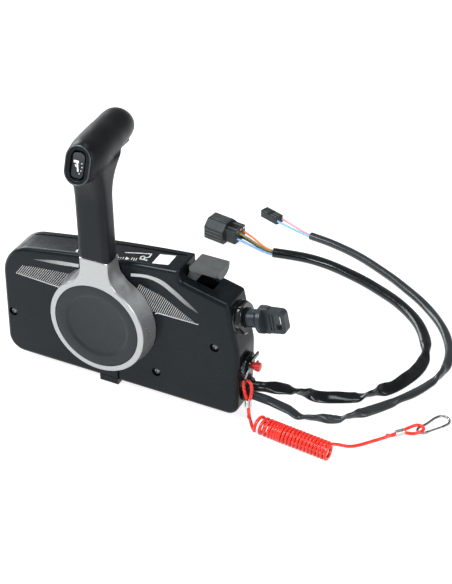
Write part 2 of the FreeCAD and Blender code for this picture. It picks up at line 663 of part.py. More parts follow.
def detent_roller_z():
    return HUB_Z + DETENT_R + SLIDING + ROLLER_R


def detent_roller():
    return rod_y(HUB_X, detent_roller_z(), ROLLER_R, DETENT_Y0, DETENT_Y1)


def detent_spring():
    """A leaf spring that presses on the roller, with its foot on the back plate's ribs."""
    low = detent_roller_z() + ROLLER_R
    top = low + SPRING_T
    leaf = box(SPRING_X0, SPRING_X1, DETENT_Y0, DETENT_Y1, low, top)
    foot = box(SPRING_X0, SPRING_X0 + SPRING_FOOT[0], DETENT_Y0, rib_face(), top, top + SPRING_FOOT[1])
    return joined([leaf, foot])


def neutral_switch():
    """The start-in-neutral switch, whose plunger the detent's leaf pushes when the roller rides up."""
    sx, sy, sz = SWITCH_SIZE
    tip_z = detent_roller_z() + ROLLER_R + SPRING_T + SLIDING
    z0 = tip_z + PLUNGER_OUT
    body = box(SWITCH_X0, SWITCH_X0 + sx, rib_face() - sy, rib_face(), z0, z0 + sz)
    plunger = rod((PLUNGER_X, (DETENT_Y0 + DETENT_Y1) / 2, tip_z), (0, 0, 1), PLUNGER_R, PLUNGER_OUT + 1)
    return joined([body, plunger])


def lever_outline(y, rim, half):
    """The hub's round with the neck growing from it through two hollow curves."""
    reach = rim + NECK_FILLET
    centre_x = half + NECK_FILLET
    centre_z = math.sqrt(reach ** 2 - centre_x ** 2)
    touch = (centre_x * rim / reach, centre_z * rim / reach)
    angle = math.atan2(-centre_z, -centre_x)
    middle_angle = (angle + 2 * math.pi + math.pi) / 2
    hollow = (centre_x + NECK_FILLET * math.cos(middle_angle),
              centre_z + NECK_FILLET * math.sin(middle_angle))

    def at(x, z):
        return V(HUB_X + x, y, HUB_Z + z)

    top = NECK_TOP_Z - HUB_Z
    edges = [
        Part.LineSegment(at(-half, top), at(half, top)).toShape(),
        Part.LineSegment(at(half, top), at(half, centre_z)).toShape(),
        Part.Arc(at(half, centre_z), at(*hollow), at(*touch)).toShape(),
        Part.Arc(at(*touch), at(0, -rim), at(-touch[0], touch[1])).toShape(),
        Part.Arc(at(-touch[0], touch[1]), at(-hollow[0], hollow[1]), at(-half, centre_z)).toShape(),
        Part.LineSegment(at(-half, centre_z), at(-half, top)).toShape(),
    ]
    return Part.Wire(edges)


def lever_base():
    front = lever_outline(HUB_FRONT_Y, RIM_R, NECK_HALF - NECK_TAPER)
    back = lever_outline(HUB_BACK_Y, SKIRT_R, NECK_HALF)
    body = Part.makeLoft([front, back], True, True)
    body = body.makeFillet(RIM_ROUND, edges_at_y(body, HUB_FRONT_Y))
    upper = box(-60, 60, ARM_BACK_Y, HUB_BACK_Y + 1, HUB_Z + SKIRT_R + 1, NECK_TOP_Z + 1)
    cuts = [upper]
    cuts.append(rod_y(HUB_X, HUB_Z, CAP_R + FIT, HUB_FRONT_Y - 1, HUB_FRONT_Y + CAP_SEAT_DEPTH))
    cuts.append(rod_y(HUB_X, HUB_Z, SHAFT_R + FIT / 2, HUB_FRONT_Y, HUB_BACK_Y + 1))
    pocket = rod_y(HUB_X, HUB_Z, HUB_POCKET_R1, HUB_BACK_Y - HUB_POCKET_DEPTH, HUB_BACK_Y + 1)
    pocket = pocket.cut(rod_y(HUB_X, HUB_Z, HUB_POCKET_R0, HUB_FRONT_Y, HUB_BACK_Y + 2))
    keep = box(-CORE_W / 2 - 3, CORE_W / 2 + 3, HUB_FRONT_Y, HUB_BACK_Y + 2, HUB_Z, NECK_TOP_Z)
    cuts.append(pocket.cut(keep))
    cuts.append(core_bar(FIT))
    for z in CORE_SCREW_ZS:
        cuts.append(rod_y(HUB_X, z, CORE_SCREW_R + FIT, CORE_BACK_Y - 1, HUB_BACK_Y + 1))
        cuts.append(rod_y(HUB_X, z, CORE_SCREW_HEAD_R + FIT, core_screw_seat(), HUB_BACK_Y + 1))
    return body.cut(Part.makeCompound(cuts)).removeSplitter()


def core_screw_seat():
    return ARM_BACK_Y - 2.4


def core_bar(grow):
    return box(-CORE_W / 2 - grow, CORE_W / 2 + grow, CORE_BACK_Y - CORE_T - grow, CORE_BACK_Y + grow,
               CORE_BOTTOM_Z - grow, CORE_TOP_Z + grow)


def arm_core():
    bar = core_bar(0)
    hole_y = CORE_BACK_Y - CORE_T - 1
    holes = [rod_y(HUB_X, z, CORE_SCREW_R - FIT, hole_y, CORE_BACK_Y + 1) for z in CORE_SCREW_ZS]
    return bar.cut(Part.makeCompound(holes))


def arm_screws():
    screws = []
    for z in CORE_SCREW_ZS:
        head = rod_y(HUB_X, z, CORE_SCREW_HEAD_R, core_screw_seat(), core_screw_seat() + 2.0)
        head = head.cut(rod_y(HUB_X, z, CORE_SCREW_R * 0.7, core_screw_seat() + 0.9, core_screw_seat() + 3))
        shank = rod_y(HUB_X, z, CORE_SCREW_R - 2 * FIT, CORE_BACK_Y - CORE_T, core_screw_seat())
        screws.append(joined([head, shank]))
    return Part.makeCompound(screws)


def hub_cap():
    seat = HUB_FRONT_Y + CAP_SEAT_DEPTH
    profile = [
        (0, HUB_FRONT_Y + CAP_DISH_DEPTH),
        (CAP_DISH_R - 1.2, HUB_FRONT_Y + CAP_DISH_DEPTH),
        (CAP_DISH_R, HUB_FRONT_Y + 0.5),
        (CAP_R - 0.8, HUB_FRONT_Y + 0.2),
        (CAP_R, HUB_FRONT_Y + 0.9),
        (CAP_R, seat),
        (CAP_R - CAP_SKIRT_T, seat),
        (CAP_R - CAP_SKIRT_T, HUB_FRONT_Y + CAP_T + 0.5),
        (CAP_DISH_R, HUB_FRONT_Y + CAP_T + CAP_DISH_DEPTH - 0.6),
        (0, HUB_FRONT_Y + CAP_T + CAP_DISH_DEPTH - 0.6),
    ]
    corners = [V(HUB_X + radius, y, HUB_Z) for radius, y in profile]
    face = Part.Face(Part.makePolygon(corners + corners[:1]))
    return face.revolve(V(HUB_X, 0, HUB_Z), Y_AXIS, 360)


def lean_at(z):
    """How far the arm's centre has moved forward at this height."""
    return LEAN_X * max(0.0, z - NECK_TOP_Z) / (GRIP_AXIS_Z - NECK_TOP_Z)


def arm_section(z, width, y0, y1, radius):
    cx = lean_at(z)
    corners = [(cx - width / 2, y0), (cx + width / 2, y0), (cx + width / 2, y1), (cx - width / 2, y1)]
    return rounded([(V(x, y, z), radius) for x, y in corners])


def oval(centre, width, height, tilt):
    """An oval across the grip; the tilt leans its top towards the back."""
    lean = math.radians(tilt)
    up = V(0, math.sin(lean), math.cos(lean))
    if abs(width - height) < 1e-6:
        return Part.Wire([Part.Circle(centre, X_AXIS.cross(up), width / 2).toShape()])
    major, minor = max(width, height) / 2, min(width, height) / 2
    along = up if height > width else X_AXIS
    across = X_AXIS if height > width else up
    ellipse = Part.Ellipse(centre + along * major, centre + across * minor, centre)
    return Part.Wire([ellipse.toShape()])


def grip_centre(y):
    """Centre of the grip's bar at this depth."""
    aside = math.tan(math.radians(GRIP_YAW)) * (y - GRIP_FACE_Y) / 2
    rise = math.tan(math.radians(GRIP_RISE)) * (y - ARM_BACK_Y)
    return V(LEAN_X + aside, y, GRIP_AXIS_Z + rise)


def face_centre():
    return V(LEAN_X, GRIP_FACE_Y, GRIP_AXIS_Z - 0.6)


def flare_section(rise, wider, forward, back, corner):
    return arm_section(COLUMN_BEND_Z + rise, COLUMN_W + wider, HUB_FRONT_Y - COLUMN_PROUD - forward,
                       ARM_BACK_Y + back, corner)


def grip():
    front_y = HUB_FRONT_Y - COLUMN_PROUD
    bend = arm_section(COLUMN_BEND_Z, COLUMN_W, front_y, ARM_BACK_Y + COLUMN_SPREAD, COLUMN_CORNER_R)
    neck = arm_section(NECK_TOP_Z, 2 * (NECK_HALF + NECK_OVERHANG), front_y, ARM_BACK_Y, NECK_CORNER_R)
    column = Part.makeLoft([neck, bend], True, True)
    flare = Part.makeLoft([bend] + [flare_section(*station) for station in GRIP_FLARE], True, False)
    face = [
        oval(face_centre(), GRIP_FACE_W - 2 * FACE_ROUND, GRIP_FACE_H - 2 * FACE_ROUND, GRIP_FACE_TILT),
        oval(face_centre() + V(0, 2.5 * FACE_ROUND, 0), GRIP_FACE_W, GRIP_FACE_H, GRIP_FACE_TILT),
    ]
    stations = [
        oval(grip_centre(y), 2 * GRIP_R + wider, 2 * GRIP_R + taller, turn)
        for y, wider, taller, turn in GRIP_STATIONS
    ]
    bar = Part.makeLoft(face + stations, True, False)
    body = column.fuse([flare, bar])
    cuts = [core_bar(FIT), on_grip_face(oval_block(BEZEL_W, BEZEL_H, -1.0, BEZEL_T))]
    cuts.append(on_grip_face(oval_block(RECESS_W + 2.4, RECESS_H + 2.4, 0.0, BEZEL_T + TRIM_BODY_DEPTH)))
    cuts.append(bar_block(SLIDING, BAR_TRAVEL + SLIDING))
    cuts.append(rod((0, ROD_Y, ROD_BOTTOM_Z - 1), (0, 0, 1), ROD_R + SLIDING, GRIP_AXIS_Z - ROD_BOTTOM_Z))
    cuts.append(box(-BAR_W / 2 - SLIDING, BAR_W / 2 + SLIDING, ROD_Y - ROD_R - SLIDING, BAR_Y0 + 1,
                    bar_bottom() + 2.0 - SLIDING, bar_bottom() + BAR_T + BAR_TRAVEL + SLIDING))
    return body.cut(Part.makeCompound(cuts)).removeSplitter()


def on_grip_face(shape):
    """Lays a piece built on the XZ plane, with its depth along +Y, on the leaning end of the grip."""
    shape.rotate(V(0, 0, 0), X_AXIS, -GRIP_FACE_TILT)
    shape.translate(face_centre())
    return shape


def oval_block(width, height, y0, y1):
    """A stadium-like oval block: straight sides and round ends, across the switch face."""
    radius = width / 2
    across, up = width / 2, height / 2
    corners = [(-across, -up), (across, -up), (across, up), (-across, up)]
    wire = rounded([(V(x, y0, z), radius * 0.98) for x, z in corners])
    return Part.Face(wire).extrude(V(0, y1 - y0, 0))


def trim_bezel():
    bezel = oval_block(BEZEL_W - 2 * FIT, BEZEL_H - 2 * FIT, 0.0, BEZEL_T - FIT)
    opening = oval_block(RECESS_W, RECESS_H, -1.0, BEZEL_T + 1)
    return on_grip_face(bezel.cut(opening))


def trim_switch_body():
    body = oval_block(RECESS_W + 2.0, RECESS_H + 2.0, BEZEL_T, BEZEL_T + TRIM_BODY_DEPTH - 1.0)
    across, up = ROCKER_W / 2 + 0.6, ROCKER_H / 2 + 1.4
    well = box(-across, across, BEZEL_T - 1, BEZEL_T + 7.5, -up, up)
    pin = rod((-ROCKER_W / 2 - 1.0, rocker_depth(), 0), (1, 0, 0), ROCKER_PIN_R, ROCKER_W + 2.0)
    return on_grip_face(body.cut(well).fuse(pin))


def rocker_depth():
    """Depth of the rocker's pin behind the switch face."""
    return ROCKER_SINK + ROCKER_T


def trim_rocker():
    front = ROCKER_SINK
    end = ROCKER_H / 2 + 1
    arch = Part.Face(rounded([
        (V(-ROCKER_W, front - 0.6, -end), 0.8),
        (V(-ROCKER_W, front + 1.6, 0), ROCKER_ARCH_R),
        (V(-ROCKER_W, front - 0.6, end), 0.8),
        (V(-ROCKER_W, front + ROCKER_T - 1.0, end), 1.0),
        (V(-ROCKER_W, front + ROCKER_T + 2.2, 0), 4.0),
        (V(-ROCKER_W, front + ROCKER_T - 1.0, -end), 1.0),
    ])).extrude(V(2 * ROCKER_W, 0, 0))
    corners = [(-1, -1), (1, -1), (1, 1), (-1, 1)]
    outline = [(V(a * ROCKER_W / 2, front - 5, b * ROCKER_H / 2), ROCKER_CORNER_R) for a, b in corners]
    arch = arch.common(Part.Face(rounded(outline)).extrude(V(0, 20, 0)))
    hole = rod((-ROCKER_W, rocker_depth(), 0), (1, 0, 0), ROCKER_PIN_R + RUNNING, 2 * ROCKER_W)
    return on_grip_face(arch.cut(hole))


def bar_bottom():
    """Height of the lock bar's underside, a little proud of the grip."""
    return grip_centre(BAR_Y0).z - GRIP_R - BAR_PROUD + 2.0


def bar_block(grow, rise):
    return box(-BAR_W / 2 - grow + LEAN_X, BAR_W / 2 + grow + LEAN_X, BAR_Y0 - grow, BAR_Y1 + grow,
               bar_bottom() - 8.0 if grow else bar_bottom(), bar_bottom() + BAR_T + rise)


def neutral_lock_bar():
    bar = bar_block(0, 0)
    bar = bar.makeFillet(1.5, [e for e in bar.Edges if abs(e.BoundBox.ZMax - bar_bottom()) < 0.01])
    link = box(-2.0, 2.0, ROD_Y - 1.0, BAR_Y0 + 1, bar_bottom() + 2.0, bar_bottom() + BAR_T)
    stem = rod((0, ROD_Y, ROD_BOTTOM_Z), (0, 0, 1), ROD_R, bar_bottom() + BAR_T - ROD_BOTTOM_Z)
    return joined([bar, link, stem])


def warm_up_lever():
    plate = box(TAB_X0, TAB_X1, TAB_Y0, TAB_Y1, TAB_TOP_Z - TAB_T, TAB_TOP_Z)
    uprights = [e for e in plate.Edges if abs(e.BoundBox.ZLength - TAB_T) < 0.01]
    plate = plate.makeFillet(2.0, uprights)
    pieces = [plate]
    px, pz = TAB_PIVOT
    for y in (SLOT_Y0 + SLIDING, SLOT_Y1 - SLIDING - TAB_EAR_T):
        ear = Part.Face(Part.makePolygon([
            V(px - TAB_EAR_R, y, pz), V(px + TAB_EAR_R, y, pz - 1.0), V(TAB_X0 + 14, y, TAB_TOP_Z - TAB_T),
            V(TAB_X0 + 0.5, y, TAB_TOP_Z - TAB_T), V(px - TAB_EAR_R, y, pz)])).extrude(V(0, TAB_EAR_T, 0))
        pieces += [ear, rod_y(px, pz, TAB_EAR_R, y, y + TAB_EAR_T)]
    lip_r = (TAB_Y1 - TAB_Y0) * 0.42
    lip_y = TAB_Y1 - lip_r - 0.5
    lip = rod((TAB_X1 - TAB_LIP_T - 0.6, lip_y, TAB_TOP_Z - TAB_T), (1, 0, 0), lip_r, TAB_LIP_T)
    squash = FreeCAD.Matrix()
    squash.scale(1, 1, TAB_LIP_DEPTH / lip_r)
    lip.translate(V(0, 0, -(TAB_TOP_Z - TAB_T)))
    lip = lip.transformGeometry(squash)
    lip.translate(V(0, 0, TAB_TOP_Z - TAB_T))
    keep = box(TAB_X0, TAB_X1 + 1, TAB_Y0 - 5, TAB_Y1 + 5, TAB_TOP_Z - 30, TAB_TOP_Z - TAB_T / 2)
    pieces.append(lip.common(keep))
    body = joined(pieces)
    return body.cut(rod_y(px, pz, TAB_PIN_R + RUNNING, SLOT_Y0 - 1, SLOT_Y1 + 1))


def warm_up_pin():
    return rod_y(TAB_PIVOT[0], TAB_PIVOT[1], TAB_PIN_R, SLOT_Y0 - CHEEK_T + 0.5, SLOT_Y1 + CHEEK_T - 0.5)


def hexagon(flats, x0, x1):
    corners = [V(x0, flats / math.sqrt(3) * math.cos(math.radians(60 * i)),
                 flats / math.sqrt(3) * math.sin(math.radians(60 * i))) for i in range(6)]
    return Part.Face(Part.makePolygon(corners + corners[:1])).extrude(V(x1 - x0, 0, 0))


def key_switch_body():
    barrel = rod((-WALL - KEY_BARREL_DEPTH, 0, 0), (1, 0, 0), KEY_BARREL_R, KEY_BARREL_DEPTH)
    nose = rod((-WALL, 0, 0), (1, 0, 0), KEY_THREAD_R, WALL + KEY_THREAD_OUT)
    bore = rod((-14, 0, 0), (1, 0, 0), KEY_ROTOR_R + RUNNING, 14 + KEY_THREAD_OUT + 1)
    return on_key_seat(joined([barrel, nose]).cut(bore))


def key_switch_nut():
    nut = hexagon(KEY_NUT_FLATS, KEY_WASHER_T, KEY_WASHER_T + KEY_NUT_T)
    straight = rod((KEY_WASHER_T, 0, 0), (1, 0, 0), KEY_NUT_FLATS * 0.56, KEY_NUT_T * 0.7)
    chamfer = Part.makeCone(KEY_NUT_FLATS * 0.56, KEY_NUT_FLATS * 0.5, KEY_NUT_T * 0.3,
                            V(KEY_WASHER_T + KEY_NUT_T * 0.7, 0, 0), X_AXIS)
    nut = nut.common(joined([straight, chamfer]))
    return on_key_seat(nut.cut(rod((0, 0, 0), (1, 0, 0), KEY_THREAD_R + FIT, 20)))


def key_switch_washer():
    ring = rod((0, 0, 0), (1, 0, 0), KEY_NUT_FLATS * 0.58, KEY_WASHER_T)
    return on_key_seat(ring.cut(rod((-1, 0, 0), (1, 0, 0), KEY_THREAD_R + FIT, 10)))


def key_rotor():
    rotor = rod((-13, 0, 0), (1, 0, 0), KEY_ROTOR_R, 13 + KEY_THREAD_OUT)
    return on_key_seat(rotor.cut(box(-8, 20, -1.2, 1.2, -4.6, 4.6)))


def key():
    """The key: a blade in the rotor and a moulded round head that narrows to a flat paddle."""
    start = KEY_THREAD_OUT + 0.4
    flare = start + KEY_BOOT_LENGTH
    collar = flare + KEY_FLARE
    shoulder = collar + KEY_COLLAR_LENGTH
    tip = shoulder + KEY_PADDLE_LENGTH
    profile = [(start, 0), (start, KEY_BOOT_R), (flare, KEY_BOOT_R), (collar, KEY_HEAD_R), (shoulder, KEY_HEAD_R),
               (shoulder + 1.5, KEY_HEAD_R - 1.5), (shoulder + 1.5, 0)]
    corners = [V(x, 0, radius) for x, radius in profile]
    head = Part.Face(Part.makePolygon(corners + corners[:1])).revolve(V(0, 0, 0), X_AXIS, 360)
    half = KEY_PADDLE_TIP / 2
    paddle_wire = rounded([
        (V(collar, -KEY_PADDLE_T / 2, -KEY_HEAD_R + 1.0), 0),
        (V(tip, -KEY_PADDLE_T / 2, -half), KEY_TIP_R),
        (V(tip, -KEY_PADDLE_T / 2, half), KEY_TIP_R),
        (V(collar, -KEY_PADDLE_T / 2, KEY_HEAD_R - 1.0), 0),
    ])
    paddle = Part.Face(paddle_wire).extrude(V(0, KEY_PADDLE_T, 0))
    flats_x = collar + KEY_FLARE
    sides = [box(flats_x, tip + 1, KEY_PADDLE_T / 2, 20, -20, 20),
             box(flats_x, tip + 1, -20, -KEY_PADDLE_T / 2, -20, 20)]
    head = head.cut(Part.makeCompound(sides))
    body = joined([head, paddle])
    sx, sz = KEY_SLOT
    slot_x1 = tip - KEY_SLOT_FROM_TIP
    slot_corners = [(slot_x1 - sx, -sz / 2), (slot_x1, -sz / 2), (slot_x1, sz / 2), (slot_x1 - sx, sz / 2)]
    slot = rounded([(V(x, -20, z), KEY_SLOT_R) for x, z in slot_corners])
    body = body.cut(Part.Face(slot).extrude(V(0, 40, 0)))
    wide, deep, tall = KEY_GROOVE
    for back in KEY_GROOVES_FROM_TIP:
        for y in (-KEY_PADDLE_T / 2, KEY_PADDLE_T / 2):
            groove = box(tip - back - wide / 2, tip - back + wide / 2, y - deep, y + deep, -tall / 2, tall / 2)
            body = body.cut(groove)
    blade = box(-7, start + 1, -1.1, 1.1, -4.4, 4.4)
    return on_key_seat(joined([body, blade]))


def stop_switch_body():
    back = -WALL - STOP_SEAT_GAP
    inner = rod((back - STOP_BODY_DEPTH, 0, 0), (1, 0, 0), STOP_BODY_R, STOP_BODY_DEPTH)
    nose = rod((back, 0, 0), (1, 0, 0), STOP_R, STOP_NUT_T + 1.0 - back)
    bore = rod((-6, 0, 0), (1, 0, 0), STOP_STEM_R + RUNNING, 20)
    return on_stop_seat(joined([inner, nose]).cut(bore))


def stop_switch_nut():
    ring = rod((STOP_SEAT_GAP, 0, 0), (1, 0, 0), STOP_NUT_R, STOP_NUT_T - STOP_SEAT_GAP)
    grips = []
    reach = STOP_NUT_R + STOP_NUT_GRIP_R * 0.6
    for index in range(STOP_NUT_GRIPS):
        angle = 2 * math.pi * index / STOP_NUT_GRIPS
        grips.append(rod((-1, reach * math.cos(angle), reach * math.sin(angle)), (1, 0, 0), STOP_NUT_GRIP_R, 10))
    ring = ring.cut(Part.makeCompound(grips))
    return on_stop_seat(ring.cut(rod((-1, 0, 0), (1, 0, 0), STOP_R + FIT, 10)))


def knob_start():
    return STOP_NUT_T + 1.0 + CLIP_T + 2 * SLIDING + STOP_TRAVEL


def stop_button():
    stem = rod((-5 + STOP_TRAVEL, 0, 0), (1, 0, 0), STOP_STEM_R, knob_start() + 5 - STOP_TRAVEL)
    knob = rod((knob_start(), 0, 0), (1, 0, 0), STOP_KNOB_R, STOP_KNOB_H)
    knob = knob.makeFillet(1.2, [e for e in knob.Edges if abs(e.BoundBox.XMin - knob_start() - STOP_KNOB_H) < 0.01
                                 and e.BoundBox.XLength < 0.01])
    return on_stop_seat(joined([stem, knob]))


def clip_x():
    return STOP_NUT_T + 1.0 + SLIDING


def clip_hole():
    """Place (y, z) of the lanyard's hole, from the stop button's axis."""
    angle = math.radians(CLIP_ANGLE)
    return (-CLIP_TAIL * math.cos(angle), -CLIP_TAIL * math.sin(angle))


def stop_clip():
    """The fork that holds the stop button out, with a tail that the lanyard is looped through."""
    x0, x1 = clip_x(), clip_x() + CLIP_T
    fork = rod((x0, 0, 0), (1, 0, 0), CLIP_FORK_R, CLIP_T)
    tail = box(x0, x1, -CLIP_TAIL, 0, -CLIP_TAIL_R, CLIP_TAIL_R)
    tail = joined([tail, rod((x0, -CLIP_TAIL, 0), (1, 0, 0), CLIP_TAIL_R, CLIP_T)])
    tail.rotate(V(0, 0, 0), X_AXIS, CLIP_ANGLE)
    arm = CLIP_FORK_R - STOP_STEM_R - SLIDING
    prongs = [box(x0, x1, 0, CLIP_PRONG, -CLIP_FORK_R, -CLIP_FORK_R + arm),
              box(x0, x1, 0, CLIP_PRONG, CLIP_FORK_R - arm, CLIP_FORK_R)]
    body = joined([fork, tail] + prongs)
    mouth = box(x0 - 1, x1 + 1, 0, 20, -STOP_STEM_R - SLIDING, STOP_STEM_R + SLIDING)
    seat = rod((x0 - 1, 0, 0), (1, 0, 0), STOP_STEM_R + SLIDING, CLIP_T + 2)
    hole = rod((x0 - 1,) + clip_hole(), (1, 0, 0), CLIP_HOLE_R, CLIP_T + 2)
    return on_stop_seat(body.cut(Part.makeCompound([mouth, seat, hole])))


def grommet():
    seat_x = BOTTOM_RIGHT_X - WALL - 2.0
    body = grommet_block(seat_x, END_FACE_X + GROMMET_OUT, -FIT)
    flange = grommet_block(END_FACE_X + 0.4, END_FACE_X + 2.4, 2.0)
    bores = [sweep(SLEEVE_A_POINTS[:3], SLEEVE_A_R + FIT)[0], sweep(SLEEVE_B_POINTS[:3], SLEEVE_B_R + FIT)[0]]
    return joined([body, flange]).cut(Part.makeCompound(bores))


def cord_path(points):
    """Straight runs joined by tangent arcs, each as large as its two runs allow."""
    corners = [V(*point) for point in points]
    edges = []
    radii = []
    start = corners[0]
    for before, corner, after in zip(corners, corners[1:], corners[2:]):
        into, out = corner - before, after - corner
        turn = into.getAngle(out)
        setback = 0.45 * min(into.Length, out.Length)
        radius = setback / math.tan(turn / 2)
        into.normalize()
        out.normalize()
        inward = (out - into).normalize()
        arc_start, arc_end = corner - into * setback, corner + out * setback
        middle = corner + inward * (radius / math.cos(turn / 2) - radius)
        edges.append(Part.LineSegment(start, arc_start).toShape())
        edges.append(Part.Arc(arc_start, middle, arc_end).toShape())
        radii.append(radius)
        start = arc_end
    edges.append(Part.LineSegment(start, corners[-1]).toShape())
    return Part.Wire(edges), radii


def sweep(points, radius):
    path, radii = cord_path(points)
    first = path.Edges[0]
    ring = Part.Wire([Part.Circle(V(*points[0]), first.tangentAt(first.FirstParameter), radius).toShape()])
    return path.makePipeShell([ring], True, True), path, radii


def cord(name, points, radius):
    tube, path, radii = sweep(points, radius)
    expected = math.pi * radius ** 2 * path.Length
    print(f"{name}: length {path.Length:.1f}, volume ratio {tube.Volume / expected:.4f},"
          f" radii {[round(r) for r in radii]}")
    return tube


def cord_between(point, spread, along):
    """A point moved aside from a cord's line, across it on the floor and up."""
    side = V(-along[1], along[0], 0).normalize()
    return V(*point) + side * spread[0] + V(0, 0, spread[1])


def wires(name, sleeve, plug_end, plug_turn, plug_height, spreads):
    """Thin wires that leave the end of a sleeve and fan into the back of a plug."""
    end, before = V(*sleeve[-1]), V(*sleeve[-2])
    along = (end - before).normalize()
    turn = math.radians(plug_turn)
    into = V(math.cos(turn), math.sin(turn), 0)
    face = V(plug_end[0], plug_end[1], plug_height / 2)
    tubes = []
    for index, spread in enumerate(spreads):
        start = cord_between(end, (spread[0] * 0.7, spread[1] * 0.7), along)
        goal = cord_between(face, (spread[0] * 1.9, spread[1] * 1.4), into)
        points = [start, start + along * WIRE_RUN, goal - into * WIRE_RUN, goal]
        tubes.append(cord(f"{name} {index}", [tuple(p) for p in points], WIRE_R))
    return Part.makeCompound(tubes)


def laid(shape, place, turn):
    """Turns a piece built along +X from the origin and puts it on the floor."""
    shape.rotate(V(0, 0, 0), Z_AXIS, turn)
    shape.translate(V(place[0], place[1], 0))
    return shape


def plug(size, place, turn, collar, chamfer=0.0):
    """A cable plug: a body that the wires enter, and a wider mating shell that is open in front."""
    length, width, height = size
    body = rounded_block(length / 2, 0, height / 2, length, width - 2 * collar, height - 2 * collar, PLUG_WALL)
    pieces = [body]
    if collar:
        start = length * 0.36
        half = width / 2
        corners = [(-half + 2, 0), (half - 2, 0), (half, 2), (half, height - chamfer), (half - chamfer, height),
                   (-half + chamfer, height), (-half, height - chamfer), (-half, 2)]
        shell = Part.Face(Part.makePolygon([V(start, y, z) for y, z in corners + corners[:1]]))
        pieces.append(shell.extrude(V(length - start, 0, 0)))
    body = joined(pieces)
    inset = PLUG_WALL + collar
    mouth = box(length * 0.55, length + 1, -width / 2 + inset, width / 2 - inset, inset, height - inset)
    return laid(body.cut(mouth), place, turn)


def crimp(start, end):
    along = V(*end) - V(*start)
    return Part.makeCylinder(CRIMP_R, along.Length, V(*start), along)


def near_crimp():
    x, y, z = NEAR_CRIMP_TOP
    return crimp((x, y, z - CRIMP_LENGTH), (x, y, z))


def lanyard_coil():
    start, end = V(COIL_START[0], COIL_START[1], COIL_Z), V(COIL_END[0], COIL_END[1], COIL_Z)
    return Part.makeCylinder(COIL_R, (end - start).Length, start, end - start)


def on_floor(points, height):
    return [(x, y, height) for x, y in points]


parts = {
    "front_housing": front_housing,
    "back_plate": back_plate,
    "housing_screws": housing_screws,
    "front_bush": lambda: bush(FRONT_Y + 0.4, FRONT_Y + FRONT_WALL + BOSS_H),
    "rear_bush": lambda: bush(BACK_Y - BACK_WALL - 0.6, BACK_Y - BACK_WALL - BOSS_H),
    "main_shaft": main_shaft,
    "retaining_ring": retaining_ring,
    "drive_gear": drive_gear,
    "detent_wheel": detent_wheel,
    "detent_roller": detent_roller,
    "detent_spring": detent_spring,
    "neutral_switch": neutral_switch,
    "shift_arm": lambda: sector_arm(SHIFT_TEETH, shift_pivot(), 180.0, SHIFT_SECTOR_HALF),
    "throttle_arm": lambda: sector_arm(THROTTLE_TEETH, throttle_pivot(), 0.0, THROTTLE_SECTOR_HALF),
    "shift_pivot_pin": lambda: pivot_pin(shift_pivot()),
    "throttle_pivot_pin": lambda: pivot_pin(throttle_pivot()),
    "lever_base": lever_base,
    "hub_cap": hub_cap,
    "hub_bolt": hub_bolt,
    "arm_core": arm_core,
    "arm_screws": arm_screws,
    "grip": grip,
    "trim_bezel": trim_bezel,
    "trim_switch_body": trim_switch_body,
    "trim_rocker": trim_rocker,
    "neutral_lock_bar": neutral_lock_bar,
    "warm_up_lever": warm_up_lever,
    "warm_up_pin": warm_up_pin,
    "key_switch_body": key_switch_body,
    "key_switch_washer": key_switch_washer,
    "key_switch_nut": key_switch_nut,
    "key_rotor": key_rotor,
    "key": key,
    "stop_switch_body": stop_switch_body,
    "stop_switch_nut": stop_switch_nut,
    "stop_button": stop_button,
    "stop_clip": stop_clip,
    "harness_grommet": grommet,
    "sleeve_a": lambda: cord("sleeve_a", SLEEVE_A_POINTS, SLEEVE_A_R),
    "sleeve_b": lambda: cord("sleeve_b", SLEEVE_B_POINTS, SLEEVE_B_R),
    "wires_a": lambda: wires("wires_a", SLEEVE_A_POINTS, PLUG_A_END, PLUG_A_TURN, PLUG_A_SIZE[2], WIRES_A_SPREAD),
    "wires_b": lambda: wires("wires_b", SLEEVE_B_POINTS, PLUG_B_END, PLUG_B_TURN, PLUG_B_SIZE[2], WIRES_B_SPREAD),
    "plug_a": lambda: plug(PLUG_A_SIZE, PLUG_A_END, PLUG_A_TURN, PLUG_A_COLLAR, PLUG_A_CHAMFER),
    "plug_b": lambda: plug(PLUG_B_SIZE, PLUG_B_END, PLUG_B_TURN, PLUG_B_COLLAR),
    "lanyard_loop": lambda: cord("lanyard_loop", LOOP_POINTS, LANYARD_R),
    "near_crimp": near_crimp,
    "lanyard_drop": lambda: cord("lanyard_drop", DROP_POINTS, LANYARD_R),
    "lanyard_coil": lanyard_coil,
    "lanyard_tail": lambda: cord("lanyard_tail", TAIL_POINTS, LANYARD_R),
    "far_crimp": lambda: crimp(*FAR_CRIMP),
    "hook_loop": lambda: cord("hook_loop", HOOK_LOOP_POINTS, LANYARD_R),
    "snap_hook": lambda: cord("snap_hook", on_floor(HOOK_POINTS, HOOK_Z), HOOK_R),
    "snap_hook_gate": lambda: cord("snap_hook_gate", on_floor(GATE_POINTS, HOOK_Z), HOOK_R * 0.8),
}

os.makedirs("parts", exist_ok=True)
for name, make in parts.items():
    shape = make()
    box_size = shape.BoundBox
    print(f"{name}: solids {len(shape.Solids)} valid {shape.isValid()} volume {shape.Volume:.0f}"
          f" x {box_size.XMin:.1f}..{box_size.XMax:.1f} y {box_size.YMin:.1f}..{box_size.YMax:.1f}"
          f" z {box_size.ZMin:.1f}..{box_size.ZMax:.1f}")
    shape.exportStep(f"parts/{name}.step")
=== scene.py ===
import json
import math

import bmesh
import bpy
from mathutils import Matrix, Vector
from mathutils.bvhtree import BVHTree

